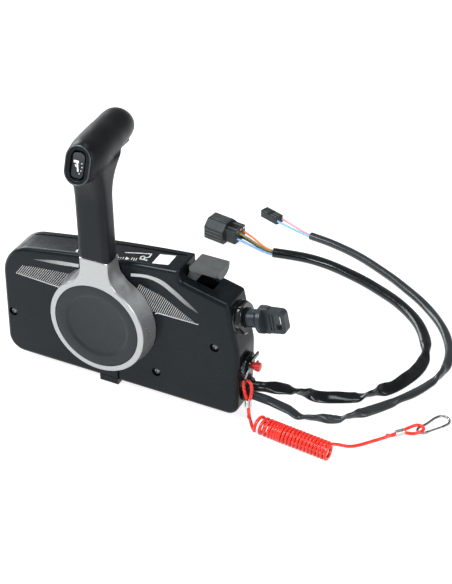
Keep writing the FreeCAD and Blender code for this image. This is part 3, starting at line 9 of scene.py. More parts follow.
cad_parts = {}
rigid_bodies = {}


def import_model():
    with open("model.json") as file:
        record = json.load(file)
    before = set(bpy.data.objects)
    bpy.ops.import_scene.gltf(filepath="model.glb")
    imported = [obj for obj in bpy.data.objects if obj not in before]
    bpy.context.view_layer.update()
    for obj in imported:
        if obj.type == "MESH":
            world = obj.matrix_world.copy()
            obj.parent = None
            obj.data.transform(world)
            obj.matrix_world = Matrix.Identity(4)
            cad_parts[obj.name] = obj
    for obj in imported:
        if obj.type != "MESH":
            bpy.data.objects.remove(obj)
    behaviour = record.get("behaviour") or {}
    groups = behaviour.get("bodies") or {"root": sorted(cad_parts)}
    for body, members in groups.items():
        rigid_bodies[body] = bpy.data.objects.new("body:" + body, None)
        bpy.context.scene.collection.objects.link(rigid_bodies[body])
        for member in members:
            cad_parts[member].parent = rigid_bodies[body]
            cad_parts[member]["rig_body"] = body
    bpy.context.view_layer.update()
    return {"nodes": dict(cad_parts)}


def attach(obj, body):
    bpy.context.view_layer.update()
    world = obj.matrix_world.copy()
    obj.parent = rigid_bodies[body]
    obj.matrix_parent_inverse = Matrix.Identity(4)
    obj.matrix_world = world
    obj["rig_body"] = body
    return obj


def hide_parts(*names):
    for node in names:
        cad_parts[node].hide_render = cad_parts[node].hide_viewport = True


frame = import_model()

MM = 0.001
COLLECTION = bpy.context.scene.collection


# Materials

def linear(code):
    """Scene-linear colour of an sRGB hex value."""
    channels = [int(code[i:i + 2], 16) / 255 for i in (1, 3, 5)]
    return tuple(c / 12.92 if c <= 0.04045 else ((c + 0.055) / 1.055) ** 2.4 for c in channels) + (1.0,)


def add(tree, kind, settings=None, inputs=None):
    """A node with its settings, and its inputs as values or links."""
    made = tree.nodes.new(kind)
    for key, value in (settings or {}).items():
        setattr(made, key, value)
    for key, value in (inputs or {}).items():
        if isinstance(value, bpy.types.NodeSocket):
            tree.links.new(value, made.inputs[key])
        else:
            made.inputs[key].default_value = value
    return made


def result_of(tree, kind, **inputs):
    """The first output of a new node. The inputs' names have _ for a space."""
    return add(tree, kind, {}, {key.replace("_", " "): value for key, value in inputs.items()}).outputs[0]


def new_material(name, colour, roughness, **sockets):
    made = bpy.data.materials.new(name)
    made.use_nodes = True
    tree = made.node_tree
    shader = tree.nodes["Principled BSDF"]
    shader.inputs["Base Color"].default_value = linear(colour)
    shader.inputs["Roughness"].default_value = roughness
    for key, value in sockets.items():
        shader.inputs[key.replace("_", " ")].default_value = value
    return made, tree, shader


def remapped(tree, value, low=0.0, high=1.0, to_low=0.0, to_high=1.0):
    """The value carried over from one range to another."""
    return result_of(tree, "ShaderNodeMapRange", Value=value, From_Min=low, From_Max=high, To_Min=to_low,
                     To_Max=to_high)


def reckoned(tree, operation, first, second):
    return add(tree, "ShaderNodeMath", {"operation": operation}, {0: first, 1: second}).outputs[0]


def two_colours(tree, share, first, second):
    """The colour between two others."""
    return add(tree, "ShaderNodeMix", {"data_type": "RGBA"}, {0: share, 6: first, 7: second}).outputs[2]


def noise_at(tree, size_mm, detail=2.0, stretch=(1, 1, 1)):
    """Noise whose features are about this many millimetres across, stretched along the object's axes."""
    place = add(tree, "ShaderNodeTexCoord").outputs["Object"]
    scaled = result_of(tree, "ShaderNodeMapping", Vector=place, Scale=stretch)
    return result_of(tree, "ShaderNodeTexNoise", Vector=scaled, Scale=1000.0 / size_mm, Detail=detail)


def mottle(tree, shader, first, second, size_mm, spread=(0.35, 0.65)):
    """Lets the base colour wander between two close colours."""
    share = remapped(tree, noise_at(tree, size_mm, 3.0), *spread)
    mixed = two_colours(tree, share, linear(first), linear(second))
    tree.links.new(mixed, shader.inputs["Base Color"])
    return mixed


def uneven_gloss(tree, shader, low, high, size_mm, stretch=(1, 1, 1)):
    rough = remapped(tree, noise_at(tree, size_mm, 4.0, stretch), 0.3, 0.7, low, high)
    tree.links.new(rough, shader.inputs["Roughness"])


def grain(tree, shader, size_mm, depth_mm, strength=0.5, detail=2.0, stretch=(1, 1, 1)):
    """A fine relief that is this deep."""
    height = noise_at(tree, size_mm, detail, stretch)
    bump = add(tree, "ShaderNodeBump", {}, {"Height": height, "Strength": strength,
                                            "Distance": depth_mm * MM})
    tree.links.new(bump.outputs["Normal"], shader.inputs["Normal"])
    return bump


def moulded_plastic(name, first, second, rough, grain_mm, depth_mm, strength=0.4, coat=0.0, specular=0.35):
    """Injection-moulded plastic: its tool's texture as bump, and the slight cloudiness of a dark moulding."""
    # Dark resins mirror a white room a little cooler than it is
    made, tree, shader = new_material(name, first, rough[0], Specular_IOR_Level=specular,
                                      Specular_Tint=linear("#d3e2ea"))
    mottle(tree, shader, first, second, 9.0)
    uneven_gloss(tree, shader, rough[0], rough[1], 14.0)
    grain(tree, shader, grain_mm, depth_mm, strength)
    if coat:
        shader.inputs["Coat Weight"].default_value = coat
        shader.inputs["Coat Roughness"].default_value = 0.15
    return made


def machined_metal(name, first, second, rough, line_mm, stretch=(1.0, 1.0, 1.0)):
    """Metal with fine tool marks, which run one way where they are stretched."""
    made, tree, shader = new_material(name, first, rough[0], Metallic=1.0)
    mottle(tree, shader, first, second, 6.0)
    uneven_gloss(tree, shader, rough[0], rough[1], line_mm, stretch)
    grain(tree, shader, line_mm, 0.02, 0.25, 2.0, stretch)
    return made


# The box is charcoal ABS with a fine spark-eroded skin, which spreads highlights into soft gradients.
# The grain is drawn at 0.8 mm, about four times its real size, so that it shows.
HOUSING_ABS = moulded_plastic("charcoal_abs_spark_eroded", "#11161a", "#0e1316", (0.22, 0.29), 0.8, 0.025,
                              0.25, specular=0.23)
# The cover in the hub and the tab are the same resin with a smoother, slightly lighter skin.
COVER_ABS = moulded_plastic("satin_abs_cover", "#26292b", "#222527", (0.34, 0.42), 1.0, 0.03, 0.25)
TAB_ABS = moulded_plastic("grey_abs_tab", "#4e5151", "#474a4a", (0.34, 0.42), 0.8, 0.03, 0.3)
# The grip is a soft thermoplastic rubber: dark and dull, with a broad sheen where it turns to the light.
GRIP_RUBBER = moulded_plastic("soft_touch_rubber", "#0e0f10", "#0b0c0d", (0.34, 0.42), 0.7, 0.04, 0.35,
                              specular=0.3)
# The switch in its end is glossier: a black bezel with a polished lip, painted a paler grey as a thin
# painted highlight line on top of its real gloss, round a rocker that mirrors the room.
BEZEL_ABS = moulded_plastic("black_abs_bezel", "#131415", "#0f1011", (0.26, 0.34), 0.8, 0.02, 0.2)
BEZEL_LIP_PAINTED_HIGHLIGHT = moulded_plastic("bezel_lip_painted_highlight", "#3c4143", "#34393b", (0.18, 0.26), 1.0, 0.02, 0.1, 0.4,
                            0.5)
ROCKER_ABS = moulded_plastic("rocker_polished_abs", "#2b2f32", "#25292c", (0.16, 0.24), 1.2, 0.02, 0.15, 0.4)
# The nuts are gloss nylon with small, hard highlights.
NUT_NYLON = moulded_plastic("gloss_black_nylon", "#0c0e0d", "#080a09", (0.1, 0.18), 1.5, 0.03, 0.2, 0.5, 0.5)
# The key's cool grey moulding and the boot's black one are dull rubber. The boot's black also serves
# as painted shade in the plugs' latch windows.
KEY_RUBBER = moulded_plastic("key_overmoulding", "#2e3438", "#272d31", (0.3, 0.4), 0.6, 0.04, 0.4)
BOOT_RUBBER_AND_PAINTED_SHADE = moulded_plastic("neoprene_boot_and_painted_shade", "#131415", "#0e0f10", (0.42, 0.54), 0.9, 0.06, 0.5)
# The plugs are nylon with glass fibres, dry and uneven, and their ribs are a paler grey: painted
# highlight along their edges.
PLUG_NYLON = moulded_plastic("glass_filled_nylon", "#2d3030", "#232626", (0.3, 0.44), 0.5, 0.04, 0.5)
PLUG_RIB_PAINTED_HIGHLIGHT = moulded_plastic("plug_ribs_painted_highlight", "#565a5a", "#484c4c", (0.32, 0.42), 0.5, 0.04, 0.4)
# Switch bodies are near-black phenolic, the stop button a bright red, and the bushes milky acetal.
SWITCH_PHENOLIC = moulded_plastic("black_phenolic", "#141516", "#101112", (0.3, 0.4), 1.0, 0.03, 0.2)
BUTTON_RED = moulded_plastic("red_acetal_button", "#d8261d", "#bf1e16", (0.22, 0.3), 1.5, 0.03, 0.15, 0.3)
BUSH_ACETAL = moulded_plastic("natural_acetal", "#e2ddd0", "#d6d0c0", (0.32, 0.4), 1.5, 0.02, 0.15)

# The plain steel is turned, so its marks run round the shafts, across Y. The springs are blued.
TURNED_STEEL = machined_metal("turned_steel", "#b9babb", "#a9abad", (0.22, 0.36), 0.5, (0.15, 1.0, 0.15))
SPRING_STEEL = machined_metal("blued_spring_steel", "#7e828a", "#6f747d", (0.25, 0.4), 0.6, (0.1, 1.0, 1.0))
# The arms are matt castings, and the grip's core is drawn, with lines along its length.
CAST_ALLOY = machined_metal("die_cast_alloy", "#a7a9ab", "#989a9d", (0.4, 0.55), 0.9)
CORE_ALLOY = machined_metal("extruded_aluminium", "#c0c2c4", "#b2b4b7", (0.28, 0.4), 0.5, (1.0, 1.0, 0.08))
# The key's rotor is warm turned brass.
ROTOR_BRASS = machined_metal("turned_brass", "#c8a45a", "#b8924a", (0.25, 0.4), 0.5, (1.0, 0.2, 0.2))
# Crimps are bright tin, the hook is greyer nickel, and the screws are dark and glossy.
CRIMP_TIN = machined_metal("tinned_crimp", "#d8d9db", "#c2c4c7", (0.2, 0.34), 0.7)
HOOK_NICKEL = machined_metal("nickel_plated_wire", "#9a9c9c", "#868888", (0.18, 0.28), 1.4)
SCREW_BLACK = machined_metal("black_zinc_plate", "#8b8f92", "#6c7073", (0.14, 0.26), 0.9)


def silver_paint():
    """Silver paint over the cast hub: fine aluminium flakes give a bright, even, satin metal."""
    made, tree, shader = new_material("silver_flake_paint", "#b0b3b4", 0.36, Metallic=0.75)
    mottle(tree, shader, "#b3b6b7", "#a8abac", 0.9, (0.3, 0.7))
    uneven_gloss(tree, shader, 0.26, 0.34, 12.0)
    shader.inputs["Coat Weight"].default_value = 0.25
    shader.inputs["Coat Roughness"].default_value = 0.2
    return made


HUB_PAINT = silver_paint()


def sleeve_vinyl(name, first, second, rough, crease_mm, specular):
    """Thin vinyl sleeve over loose wires: glossy, with soft dents where it lies on them."""
    made, tree, shader = new_material(name, first, rough[0], Specular_IOR_Level=specular,
                                      Specular_Tint=linear("#dce8ec"))
    mottle(tree, shader, first, second, 22.0)
    uneven_gloss(tree, shader, rough[0], rough[1], 18.0)
    fine = grain(tree, shader, crease_mm, 0.5, 0.3, 1.0)
    height = noise_at(tree, crease_mm * 3.2, 0.0)
    broad = result_of(tree, "ShaderNodeBump", Height=height, Strength=0.4, Distance=1.6 * MM)
    tree.links.new(broad, fine.inputs["Normal"])
    return made


# The thick lead's sleeve is jet black and shines, and the thin one's is greyer, with a broader sheen.
SLEEVE_GLOSS = sleeve_vinyl("gloss_vinyl_sleeve", "#090a0b", "#060708", (0.15, 0.26), 7.0, 0.55)
SLEEVE_SATIN = sleeve_vinyl("satin_vinyl_sleeve", "#26292c", "#1e2124", (0.26, 0.36), 8.0, 0.7)


def lanyard_cord():
    """Red polyurethane cord: a smooth, slightly clear plastic that is brighter where light comes through."""
    made, tree, shader = new_material("red_polyurethane_cord", "#ee3022", 0.28)
    mottle(tree, shader, "#f23828", "#e52a1c", 5.0)
    uneven_gloss(tree, shader, 0.2, 0.32, 4.0)
    grain(tree, shader, 1.2, 0.03, 0.2)
    shader.inputs["Subsurface Weight"].default_value = 0.12
    shader.inputs["Subsurface Radius"].default_value = (0.003, 0.0008, 0.0006)
    return made


LANYARD_RED = lanyard_cord()


def wire_vinyl(name, first, second):
    """A wire's thin vinyl coat: bright, smooth and a little waxy."""
    made, tree, shader = new_material("wire_vinyl_" + name, first, 0.3)
    mottle(tree, shader, first, second, 3.0)
    grain(tree, shader, 0.8, 0.02, 0.2)
    return made


WIRE_COLOURS = {name: wire_vinyl(name, first, second) for name, first, second in (
    ("orange", "#f07a2c", "#e86c20"), ("blue", "#72a9e4", "#629bda"), ("black", "#1a1b1c", "#141516"),
    ("green", "#7d7a34", "#6e6b2c"), ("pale_blue", "#8cc4ee", "#7ab8e8"), ("pink", "#eea0b0", "#e692a4"),
)}


def ink_and_painted_light(name, colour, fades=False):
    """Pad-printed ink: thin, dull and even. A fading print thins out to the plastic under it."""
    # The same flat coat also makes the seam's painted shade and the crests' painted highlight.
    made, tree, shader = new_material(name, colour, 0.5)
    ink_and_highlight = mottle(tree, shader, colour, colour, 2.0)
    if fades:
        strength = add(tree, "ShaderNodeAttribute", {"attribute_name": "ink_and_highlight"}).outputs["Fac"]
        tree.links.new(two_colours(tree, strength, linear("#11161a"), ink_and_highlight), shader.inputs["Base Color"])
    return made


# The seam along the top is in shade, so it is near black and shows no gloss.
SEAM_SHADE = ink_and_painted_light("shaded_seam", "#050606")
SEAM_SHADE.node_tree.nodes["Principled BSDF"].inputs["Specular IOR Level"].default_value = 0.0
# The prints are flat white, the pale silver bands along the panel's crests are painted highlight, and
# the label is a film, a little whiter.
WHITE_INK = ink_and_painted_light("white_pad_print", "#e4e6e6")
FADING_INK = ink_and_painted_light("fading_pad_print", "#f4f6f6", True)
CREST_PAINTED_HIGHLIGHT = ink_and_painted_light("painted_crest_highlight", "#cfd3d3", True)
LABEL_FILM = ink_and_painted_light("white_label_film", "#eceeee")


# Meshes

def body_of(node):
    return frame["nodes"][node]["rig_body"]


def linked(name, data):
    made = bpy.data.objects.new(name, data)
    COLLECTION.objects.link(made)
    return made


def new_object(name, mesh, material, smooth=True):
    made = linked(name, mesh)
    mesh.materials.clear()
    mesh.materials.append(material)
    if smooth:
        mesh.polygons.foreach_set("use_smooth", [True] * len(mesh.polygons))
    return made


def from_bmesh(name, shape, material, sharp=None, smooth=True):
    mesh = bpy.data.meshes.new(name)
    shape.to_mesh(mesh)
    shape.free()
    made = new_object(name, mesh, material, smooth)
    if sharp:
        mesh.set_sharp_from_angle(angle=math.radians(sharp))
    return made


def shape_of(node):
    shape = bmesh.new()
    shape.from_mesh(frame["nodes"][node].data)
    return shape


def merged_copy(node, nearer_mm=0.002):
    """The node's solid with its facets joined up again: points nearer than this become one."""
    shape = shape_of(node)
    bmesh.ops.remove_doubles(shape, verts=shape.verts, dist=nearer_mm * MM)
    return shape


def skin_of(node, shape, material):
    """An object for the node without the normals that its mesh came with."""
    made = from_bmesh(node + "_skin", shape, material)
    for name in ("custom_normal", "sharp_face", "sharp_edge"):
        if name in made.data.attributes:
            made.data.attributes.remove(made.data.attributes[name])
    return made


def result_mesh(made):
    """A new mesh of the object with its modifiers, or of the curve."""
    graph = bpy.context.evaluated_depsgraph_get()
    return bpy.data.meshes.new_from_object(made.evaluated_get(graph))


def plain_mesh(made):
    """Applies the modifiers, so that the object keeps a plain mesh."""
    result = result_mesh(made)
    made.modifiers.clear()
    made.data = result
    return made


def modify(made, kind, **settings):
    """Adds a modifier with its settings."""
    modifier = made.modifiers.new(kind.title(), kind)
    for key, value in settings.items():
        setattr(modifier, key, value)


def ride_in_place(piece, *nodes, slot=None):
    """The piece stands for the nodes and moves with their body."""
    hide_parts(*nodes)
    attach(piece, body_of(nodes[0]))
    return piece


def finished(node, material, slot, edge=0.3, sharp=33.0):
    """The node's form with its sharp edges rounded as a mould or a tumbler leaves them."""
    if not edge:
        made = new_object(node + "_skin", frame["nodes"][node].data.copy(), material, False)
        return ride_in_place(made, node, slot=slot)
    shape = merged_copy(node)
    bmesh.ops.dissolve_limit(shape, angle_limit=math.radians(0.6), verts=shape.verts, edges=shape.edges)
    made = skin_of(node, shape, material)
    made.data.set_sharp_from_angle(angle=math.radians(sharp))
    modify(made, "BEVEL", width=edge * MM, segments=2, limit_method="ANGLE", angle_limit=math.radians(sharp),
           use_clamp_overlap=True, harden_normals=True)
    return ride_in_place(plain_mesh(made), node, slot=slot)


def painted_casting(node, material, slot):
    """The node's form shaded softly, as thick paint runs over the casting's small facets."""
    shape = merged_copy(node, 0.12)
    bmesh.ops.dissolve_degenerate(shape, edges=shape.edges, dist=0.05 * MM)
    bmesh.ops.recalc_face_normals(shape, faces=shape.faces)
    made = skin_of(node, shape, material)
    made.data.set_sharp_from_angle(angle=math.radians(50))
    modify(made, "WEIGHTED_NORMAL", keep_sharp=True)
    return ride_in_place(plain_mesh(made), node, slot=slot)


def soft_moulded(node, material, slot, voxel, rounds, held, tools):
    """The node's form with its creases flowed together, as a soft moulding has them.

    The held function gives how much of the flow a place takes, from 0 to 1. What slides in the
    moulding is cut out by the tools afterwards."""
    made = skin_of(node, merged_copy(node), material)
    modify(made, "REMESH", mode="VOXEL", voxel_size=voxel * MM)
    plain_mesh(made)
    group = made.vertex_groups.new(name="flow")
    for vertex in made.data.vertices:
        group.add([vertex.index], held(vertex.co / MM), "REPLACE")
    modify(made, "SMOOTH", vertex_group="flow", factor=0.5, iterations=rounds)
    plain_mesh(made)
    for tool in tools:
        modify(made, "BOOLEAN", operation="DIFFERENCE", solver="EXACT", object=tool)
    plain_mesh(made)
    for tool in tools:
        bpy.data.objects.remove(tool)
    made.data.polygons.foreach_set("use_smooth", [True] * len(made.data.polygons))
    made.data.set_sharp_from_angle(angle=math.radians(60))
    return ride_in_place(made, node, slot=slot)


# Camera

def photo_camera():
    """The camera fitted to the photograph: its place and its axes in the part's frame."""
    made = linked("camera", bpy.data.cameras.new("camera"))
    place = (0.71545, -1.2044, 1.0535)
    right = Vector((0.89522, 0.44564, 0.0))
    up = Vector((-0.25209, 0.50642, 0.82463))
    back = Vector((0.36748, -0.73822, 0.56569))
    made.matrix_world = Matrix.Translation(place) @ Matrix((right, up, back)).transposed().to_4x4()
    made.data.lens = 110.96
    made.data.sensor_width = 36.0
    made.data.clip_start = 0.05
    made.data.clip_end = 60.0
    bpy.context.scene.camera = made


# Cords

SLEEVE_A_POINTS = [
    (136.5, 8.3, 25), (155, 15, 25), (169, 27.5, 19), (183, 41, 9.5), (201, 52.5, 5.1), (226, 65, 5.1),
    (246, 87, 5.1), (258.5, 117, 5.1), (260, 148, 5.1), (249, 179, 5.1), (226, 208, 5.1), (191, 231, 5.1),
    (152, 247.5, 5.1), (110, 258.5, 5.1), (74, 260, 5.1), (46, 253, 5.1),
]
SLEEVE_B_POINTS = [
    (136.5, -1.5, 23.3), (154, 1, 21.8), (169, 6.5, 14), (184, 11.5, 6.8), (201, 16.5, 3.85),
    (217, 23, 3.85), (231, 35.5, 3.85), (245, 54, 3.85), (260, 77, 3.85), (273, 101, 3.85),
    (282, 127, 3.85), (282.5, 152, 3.85), (274.5, 178, 3.85), (256.5, 206, 3.85), (226, 235.5, 3.85),
    (186, 261, 3.85), (142, 284, 3.85), (103, 298, 3.85), (68, 302, 3.85),
]
# How the sleeves lie: distance from the boot, width, thickness and turn, each smoothly joined to the next
SLEEVE_A_LIE = [
    (0, 9.8, 9.6, -30), (7, 10, 8.4, -30), (13, 9.6, 7, -40), (26, 13.2, 4, -28), (38, 12.8, 3.8, -16),
    (52, 9.4, 5.4, 62), (67, 12.8, 3.8, 146), (84, 13.6, 3.4, 158), (105, 13, 3.8, 168),
    (122, 9.2, 5.2, 244), (136, 12.8, 4, 322), (148, 12.4, 4.8, 338), (164, 13.4, 4.2, 322),
    (180, 13.2, 4.4, 332), (200, 12.6, 5, 344), (215, 8.4, 6.8, 372), (228, 11.2, 7.6, 365),
    (280, 11.6, 9, 360), (440, 11.4, 9.4, 360), (466, 10.4, 9.8, 360),
]
SLEEVE_B_LIE = [
    (0, 7.4, 7.4, -20), (20, 9.4, 5, -24), (50, 10.2, 4, -16), (67, 7.2, 5, 66), (84, 9.8, 3.8, 152),
    (90, 9.8, 3.8, 168), (104, 7.2, 4.6, 255), (119, 10.2, 4, 336), (146, 10.2, 4.6, 352),
    (158, 8.4, 5.8, 366), (172, 10.2, 5, 360), (200, 9.4, 5.2, 370), (216, 7.8, 6, 450),
    (236, 9.2, 6.4, 536), (300, 9.2, 7.6, 540), (514, 8.4, 7.8, 540),
]
WIRES_A = {
    "orange": [(45.56, 254.77, 5.94), (38.77, 253.07, 5.94), (11.69, 263.28, 13.18), (4.77, 264.38, 13.18)],
    "black": [(45.88, 253.48, 3.28), (39.09, 251.78, 3.28), (11.12, 259.72, 7.86), (4.21, 260.81, 7.86)],
    "green": [(46.24, 252.05, 6.64), (39.45, 250.35, 6.64), (10.5, 255.78, 14.58), (3.58, 256.87, 14.58)],
    "blue": [(46.54, 250.83, 3.98), (39.75, 249.13, 3.98), (9.96, 252.4, 9.26), (3.05, 253.49, 9.26)],
}
WIRES_B = {
    "pink": [(68.14, 303.25, 3.92), (61.19, 304.05, 3.92), (32.25, 316.82, 4.04), (25.67, 319.21, 4.04)],
    "pale_blue": [(67.86, 300.75, 3.78), (60.9, 301.54, 3.78), (29.91, 310.39, 3.76), (23.33, 312.79, 3.76)],
}
LOOP_POINTS = [
    (141.95, -9.2, 24), (139.4, -10.2, 32.5), (139, -11.4, 46.4), (147.6, -11.4, 46.4),
    (147.8, -10.2, 32.5), (145.25, -9.2, 24),
]
DROP_POINTS = [
    (143.6, -9.2, 15), (144.6, -10.2, 7), (149.5, -15, 1.75), (155, -22.5, 1.75), (160.6, -28.4, 4.6),
]
COIL_AXIS = [(160, -22, 9.4), (185, -24.6, 9.4), (211, -27.1, 9.4), (236, -29.5, 9.4)]
COIL_R = 7.7
COIL_TURNS = 20
COIL_START, COIL_END = math.radians(-127), math.radians(29)
COIL_STEPS = 16
# The first third of the coil is pulled a little apart, by this share of its length at most
PULLED_PART, PULLED_BY = 0.35, 0.055
TAIL_POINTS = [
    (235.4, -26, 15.6), (240.5, -17.5, 10.5), (246, -9, 4), (252.5, -0.5, 1.75), (261, 10.5, 1.75),
    (269.5, 20.5, 1.75), (276.5, 28, 3.4),
]
HOOK_LOOP_POINTS = [
    (281.25, 36.05, 3.4), (285.4, 42.6, 3.9), (290.8, 48.6, 4.9), (297.4, 48.2, 4.3), (299, 41.6, 4.9),
    (294.6, 36.6, 4.3), (289.4, 34, 3.6), (283.75, 33.95, 3.4),
]
# The short cut ends of the lanyard beside its crimps
CUT_ENDS = {
    "cut_end_near": [(144.9, -11.2, 15), (146.6, -13.4, 11.6), (147.2, -15.6, 7.2)],
    "cut_end_far": [(277, 26.4, 3.4), (273.4, 24.2, 2.6), (269.4, 24.8, 1.75)],
}
LANYARD_R = 1.6
WIRE_R = 1.15
FULL_TURN = 2 * math.pi

# The sleeves' sections: the distance between them, the points round each and how square they are
SLEEVE_STEP = 1.5
SLEEVE_SIDES = 32
SLEEVE_SQUARENESS = 0.9
# How deep the wires inside dent a pressed sleeve, as a share of its thickness
SLEEVE_DENT = 0.16
# A sleeve keeps this far off the floor, and settles on it over these last millimetres
FLOOR_GAP = 0.1
SETTLE_START, SETTLE_SPAN = 0.3, 6.0


def route(name, points, radius=0.0, resolution=12):
    """A smooth line with the points, in millimetres, as its control points."""
    curve = bpy.data.curves.new(name, "CURVE")
    curve.dimensions = "3D"
    curve.resolution_u = resolution
    line = curve.splines.new("NURBS")
    line.points.add(len(points) - 1)
    for point, place in zip(line.points, points):
        point.co = (place[0] * MM, place[1] * MM, place[2] * MM, 1.0)
    line.order_u = 3
    line.use_endpoint_u = True
    curve.bevel_depth = radius * MM
    curve.bevel_resolution = 6
    curve.use_fill_caps = True
    return linked(name, curve)


def line_of(points, resolution=12):
    """Points read from the smooth line that the control points give."""
    guide = route("guide", points, 0.0, resolution)
    mesh = result_mesh(guide)
    read = [v.co.copy() for v in mesh.vertices]
    bpy.data.meshes.remove(mesh)
    bpy.data.objects.remove(guide)
    return read


def even_line(points, step):
    """The same line read at even steps."""
    read = line_of(points)
    spans = [(b - a).length for a, b in zip(read, read[1:])]
    total = sum(spans)
    count = max(2, round(total / (step * MM)))
    result = []
    index, passed = 0, 0.0
    for n in range(count + 1):
        goal = total * n / count
        while index < len(spans) - 1 and passed + spans[index] < goal:
            passed += spans[index]
            index += 1
        share = min(1.0, (goal - passed) / spans[index])
        result.append(read[index].lerp(read[index + 1], share))
    return result, total


def smooth_step(value):
    held = max(0.0, min(1.0, value))
    return held * held * (3 - 2 * held)


def lie_at(lie, along):
    """Width, thickness and turn of a sleeve at this distance, between its stations."""
    for first, second in zip(lie, lie[1:]):
        if along <= second[0]:
            share = smooth_step((along - first[0]) / (second[0] - first[0]))
            return [a + (b - a) * share for a, b in zip(first[1:], second[1:])]
    return list(lie[-1][1:])


def skinned(name, rings, material, sharp=None, closed=False, capped=False):
    """A skin over rings of places, each joined to the next. A ring may be a single place."""
    shape = bmesh.new()
    rings = [[shape.verts.new(place) for place in ring] for ring in rings]
    for first, second in zip(rings, rings[1:] + (rings[:1] if closed else [])):
        for n in range(max(len(first), len(second))):
            places = ((first, n), (first, n + 1), (second, n + 1), (second, n))
            shape.faces.new(list(dict.fromkeys(ring[k % len(ring)] for ring, k in places)))
    if capped:
        shape.faces.new(rings[0])
        shape.faces.new(list(reversed(rings[-1])))
    bmesh.ops.recalc_face_normals(shape, faces=shape.faces)
    return from_bmesh(name, shape, material, sharp)


def squared(value):
    """Makes a round section a little squarer."""
    return math.copysign(abs(value) ** SLEEVE_SQUARENESS, value)


def flat_sleeve(name, points, material, lie, node, slot):
    """A thin vinyl sleeve, pressed flat over its wires and twisted in places.

    It is round where it leaves the boot and where its wires come out."""
    line, total = even_line(points, SLEEVE_STEP)
    last = len(line) - 1
    end_width = lie[-1][1]
    rings = []
    for index, place in enumerate(line):
        ahead = line[min(index + 1, last)] - line[max(index - 1, 0)]
        ahead.normalize()
        side = ahead.cross(Vector((0, 0, 1))).normalized()
        lift = side.cross(ahead).normalized()
        along = total * index / last / MM
        width, thickness, turned = lie_at(lie, along)
        wave = 1.0 + 0.025 * math.sin(along / 17.0) + 0.02 * math.sin(along / 7.3 + 1.0)
        half_w, half_t = width / 2 * wave, thickness / 2 * (2 - wave)
        angle = math.radians(turned)
        flat, edge = math.cos(angle), math.sin(angle)
        low = math.hypot(half_w * edge, half_t * flat) * abs(lift.z)
        centre = place.copy()
        floor_z = (low + FLOOR_GAP) * MM
        resting = 1.0 - smooth_step((place.z / MM - end_width / 2 - SETTLE_START) / SETTLE_SPAN)
        centre.z = place.z + (floor_z - place.z) * resting
        centre.z = max(centre.z, floor_z)
        pressed = 1.0 - thickness / width
        ring = []
        for step in range(SLEEVE_SIDES):
            turn = FULL_TURN * step / SLEEVE_SIDES
            across = half_w * squared(math.cos(turn))
            height = half_t * squared(math.sin(turn))
            dent = 1.0 - SLEEVE_DENT * pressed * math.sin(along / 9.0 + 3 * turn)
            x, z = across * flat - height * dent * edge, across * edge + height * dent * flat
            ring.append(centre + side * (x * MM) + lift * (z * MM))
        rings.append(ring)
    made = skinned(name, rings, material, 50.0, capped=True)
    ride_in_place(made, node, slot=slot)


def length_of(line):
    return sum((b - a).length for a, b in zip(line, line[1:]))


def wire_set(colours, node, slot, plug):
    for colour, points in colours.items():
        loose_cord(node + "_" + colour, points, WIRE_R, WIRE_COLOURS[colour], [node], slot, far_end="plug",
                   stiffness="limp", lay="loose", with_pieces=[plug])


def coil_points():
    """The turns of the coiled part, wound round a line that lies along its middle."""
    axis, _ = even_line(COIL_AXIS, 0.5)
    sweep = FULL_TURN * COIL_TURNS + COIL_END - COIL_START
    steps = round(sweep / FULL_TURN * COIL_STEPS)
    up = Vector((0, 0, 1))
    result = []
    for n in range(steps + 1):
        share = n / steps
        opened = share + PULLED_BY * math.sin(math.pi * min(1.0, share / PULLED_PART)) * (1 - share)
        spot = min(opened, 1.0) * (len(axis) - 1)
        first = min(int(spot), len(axis) - 2)
        place = axis[first].lerp(axis[first + 1], spot - first) / MM
        ahead = (axis[first + 1] - axis[first]).normalized()
        side = Vector((ahead.y, -ahead.x, 0.0)).normalized()
        angle = COIL_START + sweep * share
        result.append(place + up * (COIL_R * math.cos(angle)) - side * (COIL_R * math.sin(angle)))
    return result


def loose_cord(name, points, radius, material, nodes, slot, resolution=12, **facts):
    """A round cord through its points, in the place of the nodes. Its facts are not used."""
    made = route(name, points, radius, resolution)
    made.data.materials.append(material)
    ride_in_place(made, *nodes, slot=slot)
    length_of(line_of(points, resolution))


def make_lanyard():
    near_crimp = finished("near_crimp", CRIMP_TIN, "crimp_metal", 0.25)
    far_crimp = finished("far_crimp", CRIMP_TIN, "crimp_metal", 0.25)
    hook = finished("snap_hook", HOOK_NICKEL, "hook_steel", 0.0)
    red = (LANYARD_R, LANYARD_RED)
    loose_cord("lanyard_loop_cord", LOOP_POINTS, *red, ["lanyard_loop"], "lanyard_red",
               far_end="object", stiffness="medium", lay="taut")
    loose_cord("lanyard_cord", DROP_POINTS[:-1] + coil_points() + TAIL_POINTS[1:], *red,
               ["lanyard_drop", "lanyard_coil", "lanyard_tail"], "lanyard_red", 4,
               far_end="fitting", stiffness="medium", lay="coiled", with_pieces=[near_crimp, far_crimp, hook])
    loose_cord("hook_loop_cord", HOOK_LOOP_POINTS, *red, ["hook_loop"], "lanyard_red",
               far_end="object", stiffness="medium", lay="loose")
    for name, points in CUT_ENDS.items():
        end = route(name, points, LANYARD_R)
        end.data.materials.append(LANYARD_RED)
        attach(end, body_of("near_crimp"))


